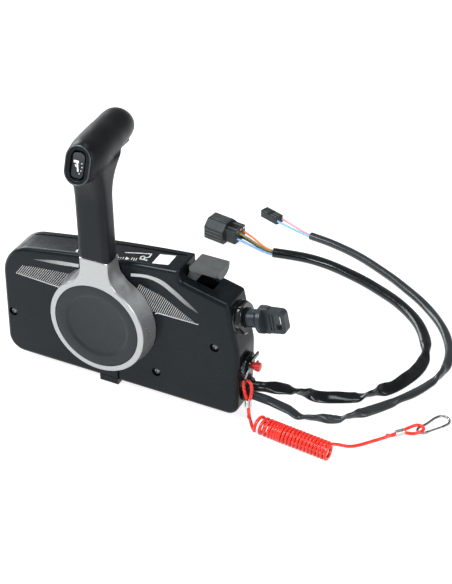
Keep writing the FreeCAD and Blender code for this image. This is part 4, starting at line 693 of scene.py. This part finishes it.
def make_leads():
    plug_a = finished("plug_a", PLUG_NYLON, "plug_plastic", 0.35)
    plug_b = finished("plug_b", PLUG_NYLON, "plug_plastic", 0.3)
    flat_sleeve("sleeve_a_tube", SLEEVE_A_POINTS, SLEEVE_GLOSS, SLEEVE_A_LIE, "sleeve_a", "sleeve_gloss")
    flat_sleeve("sleeve_b_tube", SLEEVE_B_POINTS, SLEEVE_SATIN, SLEEVE_B_LIE, "sleeve_b", "sleeve_satin")
    wire_set(WIRES_A, "wires_a", "wire_a_colours", plug_a)
    wire_set(WIRES_B, "wires_b", "wire_b_colours", plug_b)


# Graphics on the front of the box

PANEL_Y = -17.5


def on_panel(x, z, out=0.05):
    return Vector((x, PANEL_Y - out, z)) * MM


def level_at(line, x):
    """Height of a line of (x, z) points above this x."""
    for (x0, z0), (x1, z1) in zip(line, line[1:]):
        if x0 <= x <= x1:
            return z0 + (z1 - z0) * (x - x0) / (x1 - x0)
    return line[0][1] if x < line[0][0] else line[-1][1]


def flat_piece(name, shape, material, body):
    """A thin print, painted highlight or painted shade from its faces, riding on the body."""
    made = from_bmesh(name, shape, material, None, False)
    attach(made, body)
    return made


def panel_band(name, low, high, material, ink_and_highlight):
    """A thin band between two lines, for print and for painted highlight; ink gives its strength from its
    first end to its last.
    """
    shape = bmesh.new()
    layer = shape.verts.layers.float.new("ink_and_highlight")
    x0 = max(low[0][0], high[0][0])
    x1 = min(low[-1][0], high[-1][0])
    steps = max(2, round(x1 - x0))
    rows = []
    for n in range(steps + 1):
        share = n / steps
        x = x0 + (x1 - x0) * share
        row = [shape.verts.new(on_panel(x, level_at(line, x))) for line in (low, high)]
        for corner in row:
            corner[layer] = level_at(ink_and_highlight, share)
        rows.append(row)
    for (a, b), (c, d) in zip(rows, rows[1:]):
        shape.faces.new((a, c, d, b))
    flat_piece(name, shape, material, "housing")


def curved(points, cuts=8):
    """The points with a smooth curve laid through them."""
    result = []
    for n in range(len(points) - 1):
        p0, p1, p2, p3 = (Vector(points[min(max(n + k, 0), len(points) - 1)]) for k in (-1, 0, 1, 2))
        for cut in range(cuts):
            t = cut / cuts
            spot = 0.5 * (2 * p1 + (p2 - p0) * t + (2 * p0 - 5 * p1 + 4 * p2 - p3) * t ** 2
                          + (3 * p1 - p0 - 3 * p2 + p3) * t ** 3)
            result.append(tuple(spot))
    return result + [tuple(points[-1])]


def new_group(name, inputs):
    """A geometry node group with these inputs, each with its kind."""
    tree = bpy.data.node_groups.new(name, "GeometryNodeTree")
    for title, kind in inputs.items():
        tree.interface.new_socket(title, in_out="INPUT", socket_type="NodeSocket" + kind)
    tree.interface.new_socket("Geometry", in_out="OUTPUT", socket_type="NodeSocketGeometry")
    return tree, add(tree, "NodeGroupInput").outputs


def laid_out(tree, given, piece, **facts):
    """The piece repeated along the row that the group's count, start and step give."""
    row = result_of(tree, "GeometryNodeMeshLine", Count=given["Count"], Start_Location=given["Start"],
                    Offset=given["Step"])
    placed = result_of(tree, "GeometryNodeInstanceOnPoints", Points=row, Instance=piece, **facts)
    return result_of(tree, "GeometryNodeRealizeInstances", Geometry=placed)


def end_group(tree, geometry, material):
    """Sends the geometry out with its material."""
    painted = result_of(tree, "GeometryNodeSetMaterial", Geometry=geometry, Material=material)
    add(tree, "NodeGroupOutput", {}, {"Geometry": painted})
    return tree


def parts_of(tree, vector):
    return add(tree, "ShaderNodeSeparateXYZ", {}, {"Vector": vector}).outputs


def vector_of(tree, **parts):
    return result_of(tree, "ShaderNodeCombineXYZ", **parts)


def hatch_tree():
    """Slanting strokes from a base line up to an envelope, the strokes thinning out towards their tips."""
    tree, given = new_group("hatch strokes", {
        "Count": "Int", "Start": "Vector", "Step": "Vector", "Slant": "Float", "Width": "Float",
        "First height": "Float", "Middle height": "Float", "Last height": "Float", "Middle at": "Float",
        "Ink": "Material",
    })
    # The envelope goes from its first height to its middle one, and on from there to its last
    index = result_of(tree, "GeometryNodeInputIndex")
    share = reckoned(tree, "DIVIDE", index, reckoned(tree, "SUBTRACT", given["Count"], 1.0))
    rise = remapped(tree, share, 0.0, given["Middle at"], given["First height"], given["Middle height"])
    fall = remapped(tree, share, given["Middle at"])
    drop = reckoned(tree, "SUBTRACT", given["Last height"], given["Middle height"])
    height = reckoned(tree, "ADD", rise, reckoned(tree, "MULTIPLY", fall, drop))
    # One stroke stands on its base, one unit high, and its ink fades towards its tip
    stroke = result_of(tree, "GeometryNodeMeshGrid", Size_X=1.0, Size_Y=1.0, Vertices_X=2, Vertices_Y=9)
    corner = parts_of(tree, result_of(tree, "GeometryNodeInputPosition"))
    up = reckoned(tree, "ADD", corner["Y"], 0.5)
    wide = reckoned(tree, "MULTIPLY", corner["X"], given["Width"])
    upright = vector_of(tree, X=wide, Z=up)
    raised = result_of(tree, "GeometryNodeSetPosition", Geometry=stroke, Position=upright)
    inked = result_of(tree, "GeometryNodeStoreNamedAttribute", Geometry=raised, Name="ink_and_highlight",
                      Value=remapped(tree, up, 0.1, 1.0, 1.0, 0.25))
    whole = laid_out(tree, given, inked, Scale=vector_of(tree, X=1.0, Y=1.0, Z=height))
    # Leaning: each point goes sideways with its height above the base
    spot = parts_of(tree, result_of(tree, "GeometryNodeInputPosition"))
    above = reckoned(tree, "SUBTRACT", spot["Z"], parts_of(tree, given["Start"])["Z"])
    lean = vector_of(tree, X=reckoned(tree, "MULTIPLY", above, given["Slant"]))
    leaned = result_of(tree, "GeometryNodeSetPosition", Geometry=whole, Offset=lean)
    return end_group(tree, leaned, given["Ink"])


def grown(name, tree, values, material, body):
    """A piece made by a node tree, turned into a plain mesh."""
    made = new_object(name, bpy.data.meshes.new(name), material, False)
    maker = made.modifiers.new("Nodes", "NODES")
    maker.node_group = tree
    for item in tree.interface.items_tree:
        if item.in_out == "INPUT" and item.name in values:
            maker[item.identifier] = values[item.name]
    plain_mesh(made)
    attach(made, body)


# Lines along the front: name, points, and the ink at its ends
BASE_LINES = [
    ("left_base_line", [(-98.9, 97.8), (-51.7, 95.7)], (0.5, 0.9)),
    ("right_base_line", [(51.4, 97.4), (54.1, 99.0), (96.4, 99.2)], (0.9, 0.6)),
]
# Painted highlight bands over them, pale along the crests: name, lower and upper line, and the ink's share
# and strength
CREST_HIGHLIGHTS = [
    ("left_crest_highlight", [(-77.9, 119.2), (-52.0, 121.5), (-28.4, 124.9)],
     [(-77.9, 119.6), (-51.7, 125.6), (-28.1, 128.6)], [(0.0, 0.1), (0.5, 0.5), (1.0, 0.95)]),
    ("right_crest_highlight",
     [(27.1, 131.6), (43.7, 134.6), (57.5, 132.2), (71.1, 124.7), (82.9, 117.3), (96.0, 111.6)],
     [(27.2, 135.0), (43.8, 138.1), (59.3, 136.9), (72.9, 129.5), (84.7, 121.3), (96.5, 112.6)],
     [(0.0, 0.95), (0.55, 0.6), (1.0, 0.1)]),
]
# Fields of strokes: name, count, start, step, slant, first, middle and last height, and the middle's place
HATCHES = [
    ("left_hatch", 25, (-98.5, 97.9), (2.2, 0.0, -0.09), 0.72, (11.0, 13.2, 19.6), 0.2),
    ("right_hatch", 34, (24.0, 99.2), (2.1, 0.0, 0.0), 0.47, (26.3, 19.8, 0.7), 0.39),
]
BASE_LINE_WIDTH = 0.9
HATCH_WIDTH = 0.55


def make_panel_print_and_highlight():
    half = BASE_LINE_WIDTH / 2
    for (line, points, ends), (band, low, high, ink_and_highlight) in zip(BASE_LINES, CREST_HIGHLIGHTS):
        under, over = ([(x, z + side) for x, z in points] for side in (-half, half))
        panel_band(line, under, over, FADING_INK, [(0.0, ends[0]), (1.0, ends[1])])
        # Painted highlight: a pale silver band along each crest, stronger towards one end
        panel_band(band, curved(low), curved(high), CREST_PAINTED_HIGHLIGHT, ink_and_highlight)
    tree = hatch_tree()
    for name, count, start, step, slant, heights, middle in HATCHES:
        first, second, third = (height * MM for height in heights)
        grown(name, tree, {
            "Count": count, "Start": on_panel(*start), "Step": Vector(step) * MM, "Slant": slant,
            "Width": HATCH_WIDTH * MM, "First height": first, "Middle height": second, "Last height": third,
            "Middle at": middle, "Ink": FADING_INK,
        }, FADING_INK, "housing")


# Graphics on the top of the box

def surface_of(node):
    shape = shape_of(node)
    tree = BVHTree.FromBMesh(shape)
    shape.free()
    return tree


HOUSING_SURFACE = surface_of("front_housing")


def on_top(x, y, out=0.06):
    hit, normal, _, _ = HOUSING_SURFACE.ray_cast(Vector((x * MM, y * MM, 0.3)), Vector((0, 0, -1)))
    return hit + normal * (out * MM)


def thin_patch(name, corners, material, place, body, cells=8):
    """A thin patch of print or painted shade over a quadrilateral, following the form that its place function
    finds.
    """
    shape = bmesh.new()
    steps = [n / cells for n in range(cells + 1)]
    rows = []
    for u in steps:
        shares = [((1 - u) * (1 - v), u * (1 - v), u * v, (1 - u) * v) for v in steps]
        spots = [[sum(w * c[k] for w, c in zip(share, corners)) for k in (0, 1)] for share in shares]
        rows.append([shape.verts.new(place(*spot)) for spot in spots])
    for row, following in zip(rows, rows[1:]):
        for j in range(cells):
            shape.faces.new((row[j], following[j], following[j + 1], row[j + 1]))
    for piece in shape.faces:
        piece.normal_update()
        if piece.normal.z < 0:
            piece.normal_flip()
    return flat_piece(name, shape, material, body)


def top_patch(name, corners, material, cells=8):
    return thin_patch(name, corners, material, on_top, "housing", cells)


def stroke_corners(start, end, width):
    """The corners of a straight stroke, half its width past both ends."""
    length = math.dist(start, end)
    ahead = [(b - a) / length * width / 2 for a, b in zip(start, end)]
    return [(x + along * ahead[0] - side * ahead[1], y + along * ahead[1] + side * ahead[0])
            for (x, y), along, side in ((start, -1, -1), (end, 1, -1), (end, 1, 1), (start, -1, 1))]


def top_stroke(name, points, width, material):
    """A line of print or painted shade over the top, as one object."""
    shape = bmesh.new()
    for number, (start, end) in enumerate(zip(points, points[1:])):
        cells = max(2, round(math.dist(start, end) / 2.5))
        part = top_patch(f"{name}_{number}", stroke_corners(start, end, width), material, cells)
        shape.from_mesh(part.data)
        bpy.data.objects.remove(part)
    flat_piece(name, shape, material, "housing")


# The letter R drawn with two lines in its own square
LETTER_R = [
    [(0.0, 0.0), (0.0, 1.0), (0.62, 1.0), (0.85, 0.86), (0.85, 0.62), (0.62, 0.48), (0.0, 0.48)],
    [(0.5, 0.48), (0.9, 0.0)],
]
# Each tick from its front end to its back end
SWING_TICKS = [
    ((12.2, -14.6), (11.4, -10.8)), ((14.2, -14.3), (13.8, -10.5)), ((16.7, -14.0), (16.1, -10.0)),
    ((25.0, -12.1), (24.5, -8.8)), ((27.6, -12.4), (26.4, -8.6)), ((29.6, -12.0), (28.8, -8.1)),
]
LETTER_R_CORNER = (39.6, -8.9)
LETTER_R_UP = (-7.6, 0.6)
LETTER_R_ACROSS = (-0.9, 6.0)
FORE_ARROW = [(-34.7, -12.1), (-31.7, -13.3), (-32.8, -10.2), (-33.8, -7.6)]
AFT_ARROW = [(19.0, -14.4), (22.8, -11.2), (20.6, -9.9), (18.3, -8.6)]
LABEL = [(46.6, -11.9), (62.4, -9.9), (61.9, 6.5), (46.1, 4.6)]
SWING_LINE = [(13.5, -1.9), (38.3, 2.6), (39.1, -3.0)]
SEAM = [(x, 10.2) for x in (-92.0, -60.0, -20.0, 20.0, 70.0)]
SEAM_WIDTH, SWING_LINE_WIDTH, LETTER_WIDTH, TICK_WIDTH = 1.5, 1.2, 1.3, 0.7


def make_top_print_and_shade():
    # Painted shade: a near-black strip along the seam between the housing's halves
    top_stroke("seam_painted_shade", SEAM, SEAM_WIDTH, SEAM_SHADE)
    top_stroke("swing_line", SWING_LINE, SWING_LINE_WIDTH, WHITE_INK)
    for number, stroke in enumerate(LETTER_R):
        points = [tuple(corner + across * a + up * b for corner, across, up in
                        zip(LETTER_R_CORNER, LETTER_R_ACROSS, LETTER_R_UP)) for a, b in stroke]
        top_stroke(f"letter_r_{number}", points, LETTER_WIDTH, WHITE_INK)
    for number, tick in enumerate(SWING_TICKS):
        top_stroke(f"swing_tick_{number}", tick, TICK_WIDTH, WHITE_INK)
    top_patch("aft_arrow", AFT_ARROW, WHITE_INK, 3)
    top_patch("fore_arrow", FORE_ARROW, WHITE_INK, 3)
    top_patch("blank_label", LABEL, LABEL_FILM, 10)


# Pieces

# The angle in degrees past which an edge is eased; a nut's chamfers turn by less
USUAL_SHARP = 35.0
NUT_SHARP = 28.0
# The node's own form with its edges eased: node, material, slot and edge in millimetres
EASED = [
    ("front_housing", HOUSING_ABS, "housing_plastic", 0.6),
    ("back_plate", HOUSING_ABS, "housing_plastic", 0.6),
    ("housing_screws", SCREW_BLACK, "screw_steel", 0.15),
    ("trim_bezel", BEZEL_ABS, "bezel_black", 0.8),
    ("trim_rocker", ROCKER_ABS, "rocker_black", 0.6),
    ("warm_up_lever", TAB_ABS, "tab_plastic", 0.35),
    ("key_switch_washer", NUT_NYLON, "nut_black", 0.2),
    ("key_switch_nut", NUT_NYLON, "nut_black", 0.3, NUT_SHARP),
    ("key", KEY_RUBBER, "key_rubber", 0.5),
    ("key_rotor", ROTOR_BRASS, "rotor_brass", 0.15),
    ("stop_switch_nut", NUT_NYLON, "nut_black", 0.3, NUT_SHARP),
    ("stop_button", BUTTON_RED, "stop_red", 0.4),
    ("stop_clip", NUT_NYLON, "clip_black", 0.35),
    ("harness_grommet", BOOT_RUBBER_AND_PAINTED_SHADE, "boot_rubber", 0.5),
    ("shift_arm", CAST_ALLOY, "arm_casting", 0.3),
    ("throttle_arm", CAST_ALLOY, "arm_casting", 0.3),
    ("snap_hook_gate", HOOK_NICKEL, "hook_steel", 0.0),
]

# Inner pieces that keep the frame's own mesh
KEPT = {
    TURNED_STEEL: ["main_shaft", "drive_gear", "detent_wheel", "detent_roller", "shift_pivot_pin",
                   "throttle_pivot_pin", "warm_up_pin", "hub_bolt", "arm_screws"],
    SPRING_STEEL: ["detent_spring", "retaining_ring"],
    BUSH_ACETAL: ["front_bush", "rear_bush"],
    SWITCH_PHENOLIC: ["neutral_switch", "key_switch_body", "stop_switch_body", "trim_switch_body"],
    CORE_ALLOY: ["arm_core"],
}


HUB_Z = 80.0
# Radius and depth of the hub's cover, from the middle of its dish round its rim and back to the middle
COVER_PROFILE = [
    (0.0, -36.2), (29.6, -36.2), (30.5, -36.4), (31.4, -36.95), (32.3, -37.6), (33.2, -38.05),
    (34.4, -38.25), (42.8, -38.3), (43.5, -38.15), (43.9, -37.75), (44.0, -37.2), (44.0, -30.5),
    (42.0, -30.5), (42.0, -34.8), (31.7, -34.2), (0.0, -34.2),
]


def lathe(name, profile, material, sharp, around=144):
    """A body turned about the hub's axis; its profile starts and ends on the axis."""
    rings = []
    for radius, depth in profile:
        count = around if radius else 1
        ring = []
        for n in range(count):
            turn = FULL_TURN * n / count
            ring.append(Vector((radius * math.sin(turn), depth, HUB_Z + radius * math.cos(turn))) * MM)
        rings.append(ring)
    return skinned(name, rings, material, sharp)


# The middle of the grip's end face, and how far it leans back
FACE_MIDDLE = Vector((-3.0, -51.0, 258.9))
FACE_TILT = math.radians(19.0)
FACE_TURN = Matrix.Rotation(-FACE_TILT, 3, "X")
ROCKER_SURFACE = surface_of("trim_rocker")


def on_rocker(x, z, out=0.05):
    """The rocker's surface at this place across and up its face."""
    start = (FACE_MIDDLE + FACE_TURN @ Vector((x, -12.0, z))) * MM
    hit, normal, _, _ = ROCKER_SURFACE.ray_cast(start, FACE_TURN @ Vector((0, 1, 0)))
    return hit + normal * (out * MM)


# The tilt sign on the rocker: a motor's head and leg, and the dots of its swing
TILT_STROKES = [
    ((-3.7, 2.9), (-0.9, 2.9), 2.4), ((-1.5, 2.6), (0.4, -5.0), 1.6), ((-2.9, -0.2), (-2.0, -1.4), 1.0),
]
TILT_DOTS = [(3.4, 2.2), (3.9, -1.2), (3.4, -4.4), (2.1, -7.2)]
TILT_DOT_SIZE = (0.6, 0.7)
# The lip round the bezel's oval: its half width and height, how far it stands out, its half thickness
# across and its depth as a share of that, and the sections round it and the points of each
LIP_HALF_W, LIP_HALF_H = 12.1, 17.6
LIP_OUT, LIP_THICK, LIP_FLATNESS = 0.3, 0.75, 0.7
LIP_SECTIONS, LIP_SIDES = 48, 8


def make_bezel_lip():
    """The polished lip round the switch's oval bezel, half sunk in the grip's face."""
    rings = []
    for section in range(LIP_SECTIONS):
        turn = FULL_TURN * section / LIP_SECTIONS
        outward = Vector((math.cos(turn), 0, math.sin(turn)))
        straight = (LIP_HALF_H - LIP_HALF_W) * (1 if math.sin(turn) >= 0 else -1)
        middle = outward * LIP_HALF_W + Vector((0, -LIP_OUT, straight))
        ring = []
        for corner in range(LIP_SIDES):
            swing = FULL_TURN * corner / LIP_SIDES
            deep = Vector((0, LIP_THICK * LIP_FLATNESS * math.sin(swing), 0))
            spot = middle + outward * (LIP_THICK * math.cos(swing)) + deep
            ring.append((FACE_MIDDLE + FACE_TURN @ spot) * MM)
        rings.append(ring)
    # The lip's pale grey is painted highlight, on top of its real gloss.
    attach(skinned("bezel_lip", rings, BEZEL_LIP_PAINTED_HIGHLIGHT, closed=True), body_of("trim_bezel"))


def make_tilt_sign():
    body = body_of("trim_rocker")
    for number, (start, end, width) in enumerate(TILT_STROKES):
        corners = stroke_corners(start, end, width)
        thin_patch(f"tilt_stroke_{number}", corners, WHITE_INK, on_rocker, body, 4)
    wide, high = TILT_DOT_SIZE
    for number, (x, z) in enumerate(TILT_DOTS):
        corners = [(x - wide, z), (x, z - high), (x + wide, z), (x, z + high)]
        thin_patch(f"tilt_dot_{number}", corners, WHITE_INK, on_rocker, body, 2)


def rib_tree():
    """Equal straight ribs in a row."""
    tree, given = new_group("rib row", {"Count": "Int", "Start": "Vector", "Step": "Vector", "Size": "Vector",
                                        "Turn": "Float", "Resin": "Material"})
    rib = result_of(tree, "GeometryNodeMeshCube", Size=given["Size"])
    facing = result_of(tree, "FunctionNodeEulerToRotation", Euler=vector_of(tree, Z=given["Turn"]))
    return end_group(tree, laid_out(tree, given, rib, Rotation=facing), given["Resin"])


# Each plug's wire end on the floor and the way it points
PLUG_PLACES = {
    "plug_a": (Vector((4.0, 259.5, 0.0)), math.radians(171.0)),
    "plug_b": (Vector((24.5, 316.0, 0.0)), math.radians(160.0)),
}

# Rows of ribs: plug, count, first rib's middle, step and size, all along the plug from its wire end.
# The pale rows are painted highlight on the ribs' edges, the dark rows painted shade in the latch
# windows, and the tinned row the contacts' crimps.
PLUG_RIBS = [
    ("plug_a", 4, (26.0, -4.5, 23.0), (0.0, 3.0, 0.0), (22.0, 1.1, 1.0), PLUG_RIB_PAINTED_HIGHLIGHT),
    ("plug_a", 3, (26.0, -14.0, 5.0), (0.0, 0.0, 4.0), (22.0, 1.0, 1.1), PLUG_RIB_PAINTED_HIGHLIGHT),
    ("plug_a", 3, (26.0, 14.0, 5.0), (0.0, 0.0, 4.0), (22.0, 1.0, 1.1), PLUG_RIB_PAINTED_HIGHLIGHT),
    ("plug_a", 2, (7.0, -5.0, 19.0), (0.0, 10.0, 0.0), (13.0, 1.6, 1.6), PLUG_RIB_PAINTED_HIGHLIGHT),
    # Painted shade: near-black patches in the latch windows' recesses
    ("plug_a", 1, (8.5, 0.0, 19.1), (0.0, 1.0, 0.0), (7.0, 5.6, 0.7), BOOT_RUBBER_AND_PAINTED_SHADE),
    ("plug_a", 3, (0.6, -6.0, 17.6), (0.0, 6.0, 0.0), (2.0, 2.6, 2.0), CRIMP_TIN),
    ("plug_b", 3, (6.0, -3.9, 7.8), (0.0, 3.9, 0.0), (9.0, 1.2, 1.2), PLUG_RIB_PAINTED_HIGHLIGHT),
    ("plug_b", 1, (13.0, 0.0, 7.75), (0.0, 1.0, 0.0), (3.4, 8.0, 0.5), BOOT_RUBBER_AND_PAINTED_SHADE),
    ("plug_b", 2, (19.5, -4.2, 7.8), (0.0, 8.4, 0.0), (9.0, 1.0, 0.9), PLUG_RIB_PAINTED_HIGHLIGHT),
    ("plug_b", 1, (24.9, 0.0, 4.0), (0.0, 1.0, 0.0), (0.6, 8.4, 5.0), BOOT_RUBBER_AND_PAINTED_SHADE),
]


def make_plug_ribs():
    tree = rib_tree()
    for number, (plug, count, first, step, size, resin) in enumerate(PLUG_RIBS):
        place, turn = PLUG_PLACES[plug]
        turned = Matrix.Rotation(turn, 3, "Z")
        grown(f"{plug}_ribs_{number}", tree, {
            "Count": count, "Start": (place + turned @ Vector(first)) * MM,
            "Step": (turned @ Vector(step)) * MM, "Size": Vector(size) * MM, "Turn": turn, "Resin": resin,
        }, resin, body_of(plug))


# The room that the lock bar slides in, as middles and sizes, and the round room of its rod
LOCK_BAR_ROOM = [
    ((-3.0, 11.0, 244.0), (12.8, 38.8, 17.6)),
    ((0.0, -16.5, 248.9), (12.8, 20.4, 8.0)),
]
ROD_ROOM_R, ROD_ROOM_PLACE, ROD_ROOM_LENGTH = 2.3, (0.0, -24.4, 207.5), 102.0


def lock_bar_tools():
    made = []
    for middle, size in LOCK_BAR_ROOM:
        shape = bmesh.new()
        place = Matrix.Translation(Vector(middle) * MM) @ Matrix.Diagonal(Vector(size + (1 / MM,)) * MM)
        bmesh.ops.create_cube(shape, size=1.0, matrix=place)
        made.append(from_bmesh("lock_bar_room", shape, GRIP_RUBBER, None, False))
    shape = bmesh.new()
    bmesh.ops.create_cone(shape, cap_ends=True, segments=32, radius1=ROD_ROOM_R * MM, radius2=ROD_ROOM_R * MM,
                          depth=ROD_ROOM_LENGTH * MM, matrix=Matrix.Translation(Vector(ROD_ROOM_PLACE) * MM))
    made.append(from_bmesh("rod_room", shape, GRIP_RUBBER, None, False))
    return made


# Where the grip's creases don't flow: round the lock bar's slot, half its width, front, back and top
SLOT_HALF_W, SLOT_FRONT, SLOT_BACK, SLOT_TOP = 9.0, -29.0, 35.0, 258.0
# They flow little near the switch's seat and on the neck, and freely past a depth and a height
LEAST_FLOW = 0.08
SEAT_DEPTH, SEAT_BLEND = 4.0, 8.0
NECK_TOP, NECK_BLEND = 165.0, 15.0


def grip_flow(place):
    """How freely the grip's creases flow at this place."""
    if abs(place.x - FACE_MIDDLE.x) < SLOT_HALF_W and SLOT_FRONT < place.y < SLOT_BACK and place.z < SLOT_TOP:
        return 0.0
    depth = (place - FACE_MIDDLE).dot(Vector((0, math.cos(FACE_TILT), -math.sin(FACE_TILT))))
    free = smooth_step((depth - SEAT_DEPTH) / SEAT_BLEND) * smooth_step((place.z - NECK_TOP) / NECK_BLEND)
    return LEAST_FLOW + (1 - LEAST_FLOW) * free


def make_pieces():
    ride_in_place(lathe("hub_cover", COVER_PROFILE, COVER_ABS, 40.0), "hub_cap", slot="cap_black")
    painted_casting("lever_base", HUB_PAINT, "lever_silver")
    finished("neutral_lock_bar", GRIP_RUBBER, "grip_rubber", 0.5, USUAL_SHARP)
    for node, material, slot, edge, *sharp in EASED:
        finished(node, material, slot, edge, *(sharp or [USUAL_SHARP]))
    soft_moulded("grip", GRIP_RUBBER, "grip_rubber", 1.0, 36, grip_flow, lock_bar_tools())
    for material, nodes in KEPT.items():
        for node in nodes:
            mesh = frame["nodes"][node].data
            mesh.materials.clear()
            mesh.materials.append(material)


# Room

# The floor's own grey, what it adds for the camera, and its grey for the light that it gives back
FLOOR_GREY = 0.4
FLOOR_LIFT = 0.82
BOUNCE_GREY = 0.6
FLOOR_REACH = 20.0
# The world's light from the horizon and from above, and the height where it stops falling off
SKY = 0.6
CEILING = 0.25
CEILING_HEIGHT = 0.8
WHITE = (1.0, 1.0, 1.0, 1.0)
# Name, place, size and power of each lamp
LAMPS = [
    ("key_light", (-0.9, -1.1, 1.5), 0.65, 30.0),
    ("fill_light", (1.4, -0.7, 0.9), 0.8, 15.0),
    ("top_light", (0.2, 0.1, 1.9), 0.7, 10.0),
    ("rim_light", (-1.5, 0.65, 0.95), 1.1, 28.0),
]
LAMP_AIM = Vector((0.05, 0.05, 0.1))


def pale_floor():
    """A near-white floor that looks white to the camera and in reflections and keeps the object's shadow."""
    made = bpy.data.materials.new("white_studio_floor")
    made.use_nodes = True
    tree = made.node_tree
    tree.nodes.remove(tree.nodes["Principled BSDF"])
    ray = add(tree, "ShaderNodeLightPath").outputs
    seen = reckoned(tree, "MAXIMUM", ray["Is Camera Ray"], ray["Is Glossy Ray"])
    seen = reckoned(tree, "MAXIMUM", seen, ray["Is Transmission Ray"])
    paint = result_of(tree, "ShaderNodeBsdfDiffuse", Color=(FLOOR_GREY, FLOOR_GREY, FLOOR_GREY, 1.0))
    lift = result_of(tree, "ShaderNodeEmission", Color=WHITE, Strength=FLOOR_LIFT)
    both = add(tree, "ShaderNodeAddShader", {}, {0: paint, 1: lift})
    plain = result_of(tree, "ShaderNodeBsdfDiffuse", Color=(BOUNCE_GREY, BOUNCE_GREY, BOUNCE_GREY, 1.0))
    mixed = add(tree, "ShaderNodeMixShader", {}, {0: seen, 1: plain, 2: both.outputs[0]})
    tree.links.new(mixed.outputs[0], tree.nodes["Material Output"].inputs["Surface"])
    return made


def make_room():
    shape = bmesh.new()
    signs = ((-1, -1), (1, -1), (1, 1), (-1, 1))
    shape.faces.new([shape.verts.new((x * FLOOR_REACH, y * FLOOR_REACH, 0)) for x, y in signs])
    from_bmesh("floor", shape, pale_floor(), None, False)
    world = bpy.data.worlds.new("studio")
    bpy.context.scene.world = world
    world.use_nodes = True
    tree = world.node_tree
    ray = add(tree, "ShaderNodeLightPath").outputs
    seen = reckoned(tree, "MAXIMUM", ray["Is Camera Ray"], ray["Is Transmission Ray"])
    # The room is white at floor level and dims towards its ceiling, which gives metal something to reflect
    way = add(tree, "ShaderNodeTexCoord").outputs["Generated"]
    ceiling = remapped(tree, parts_of(tree, way)["Z"], 0.0, CEILING_HEIGHT, SKY, CEILING)
    strength = remapped(tree, seen, 0.0, 1.0, ceiling, 1.0)
    tree.nodes["Background"].inputs["Color"].default_value = WHITE
    tree.links.new(strength, tree.nodes["Background"].inputs["Strength"])
    for lamp in LAMPS:
        soft_box(*lamp)


def soft_box(name, place, size, power):
    lamp = bpy.data.lights.new(name, "AREA")
    lamp.shape = "SQUARE"
    lamp.size = size
    lamp.energy = power
    made = linked(name, lamp)
    made.location = place
    aim = LAMP_AIM - Vector(place)
    made.rotation_euler = aim.to_track_quat("-Z", "Y").to_euler()


bpy.context.scene.view_settings.view_transform = "Standard"
photo_camera()
make_lanyard()
make_leads()
make_pieces()
make_plug_ribs()
make_panel_print_and_highlight()
make_top_print_and_shade()
make_tilt_sign()
make_bezel_lip()
make_room()
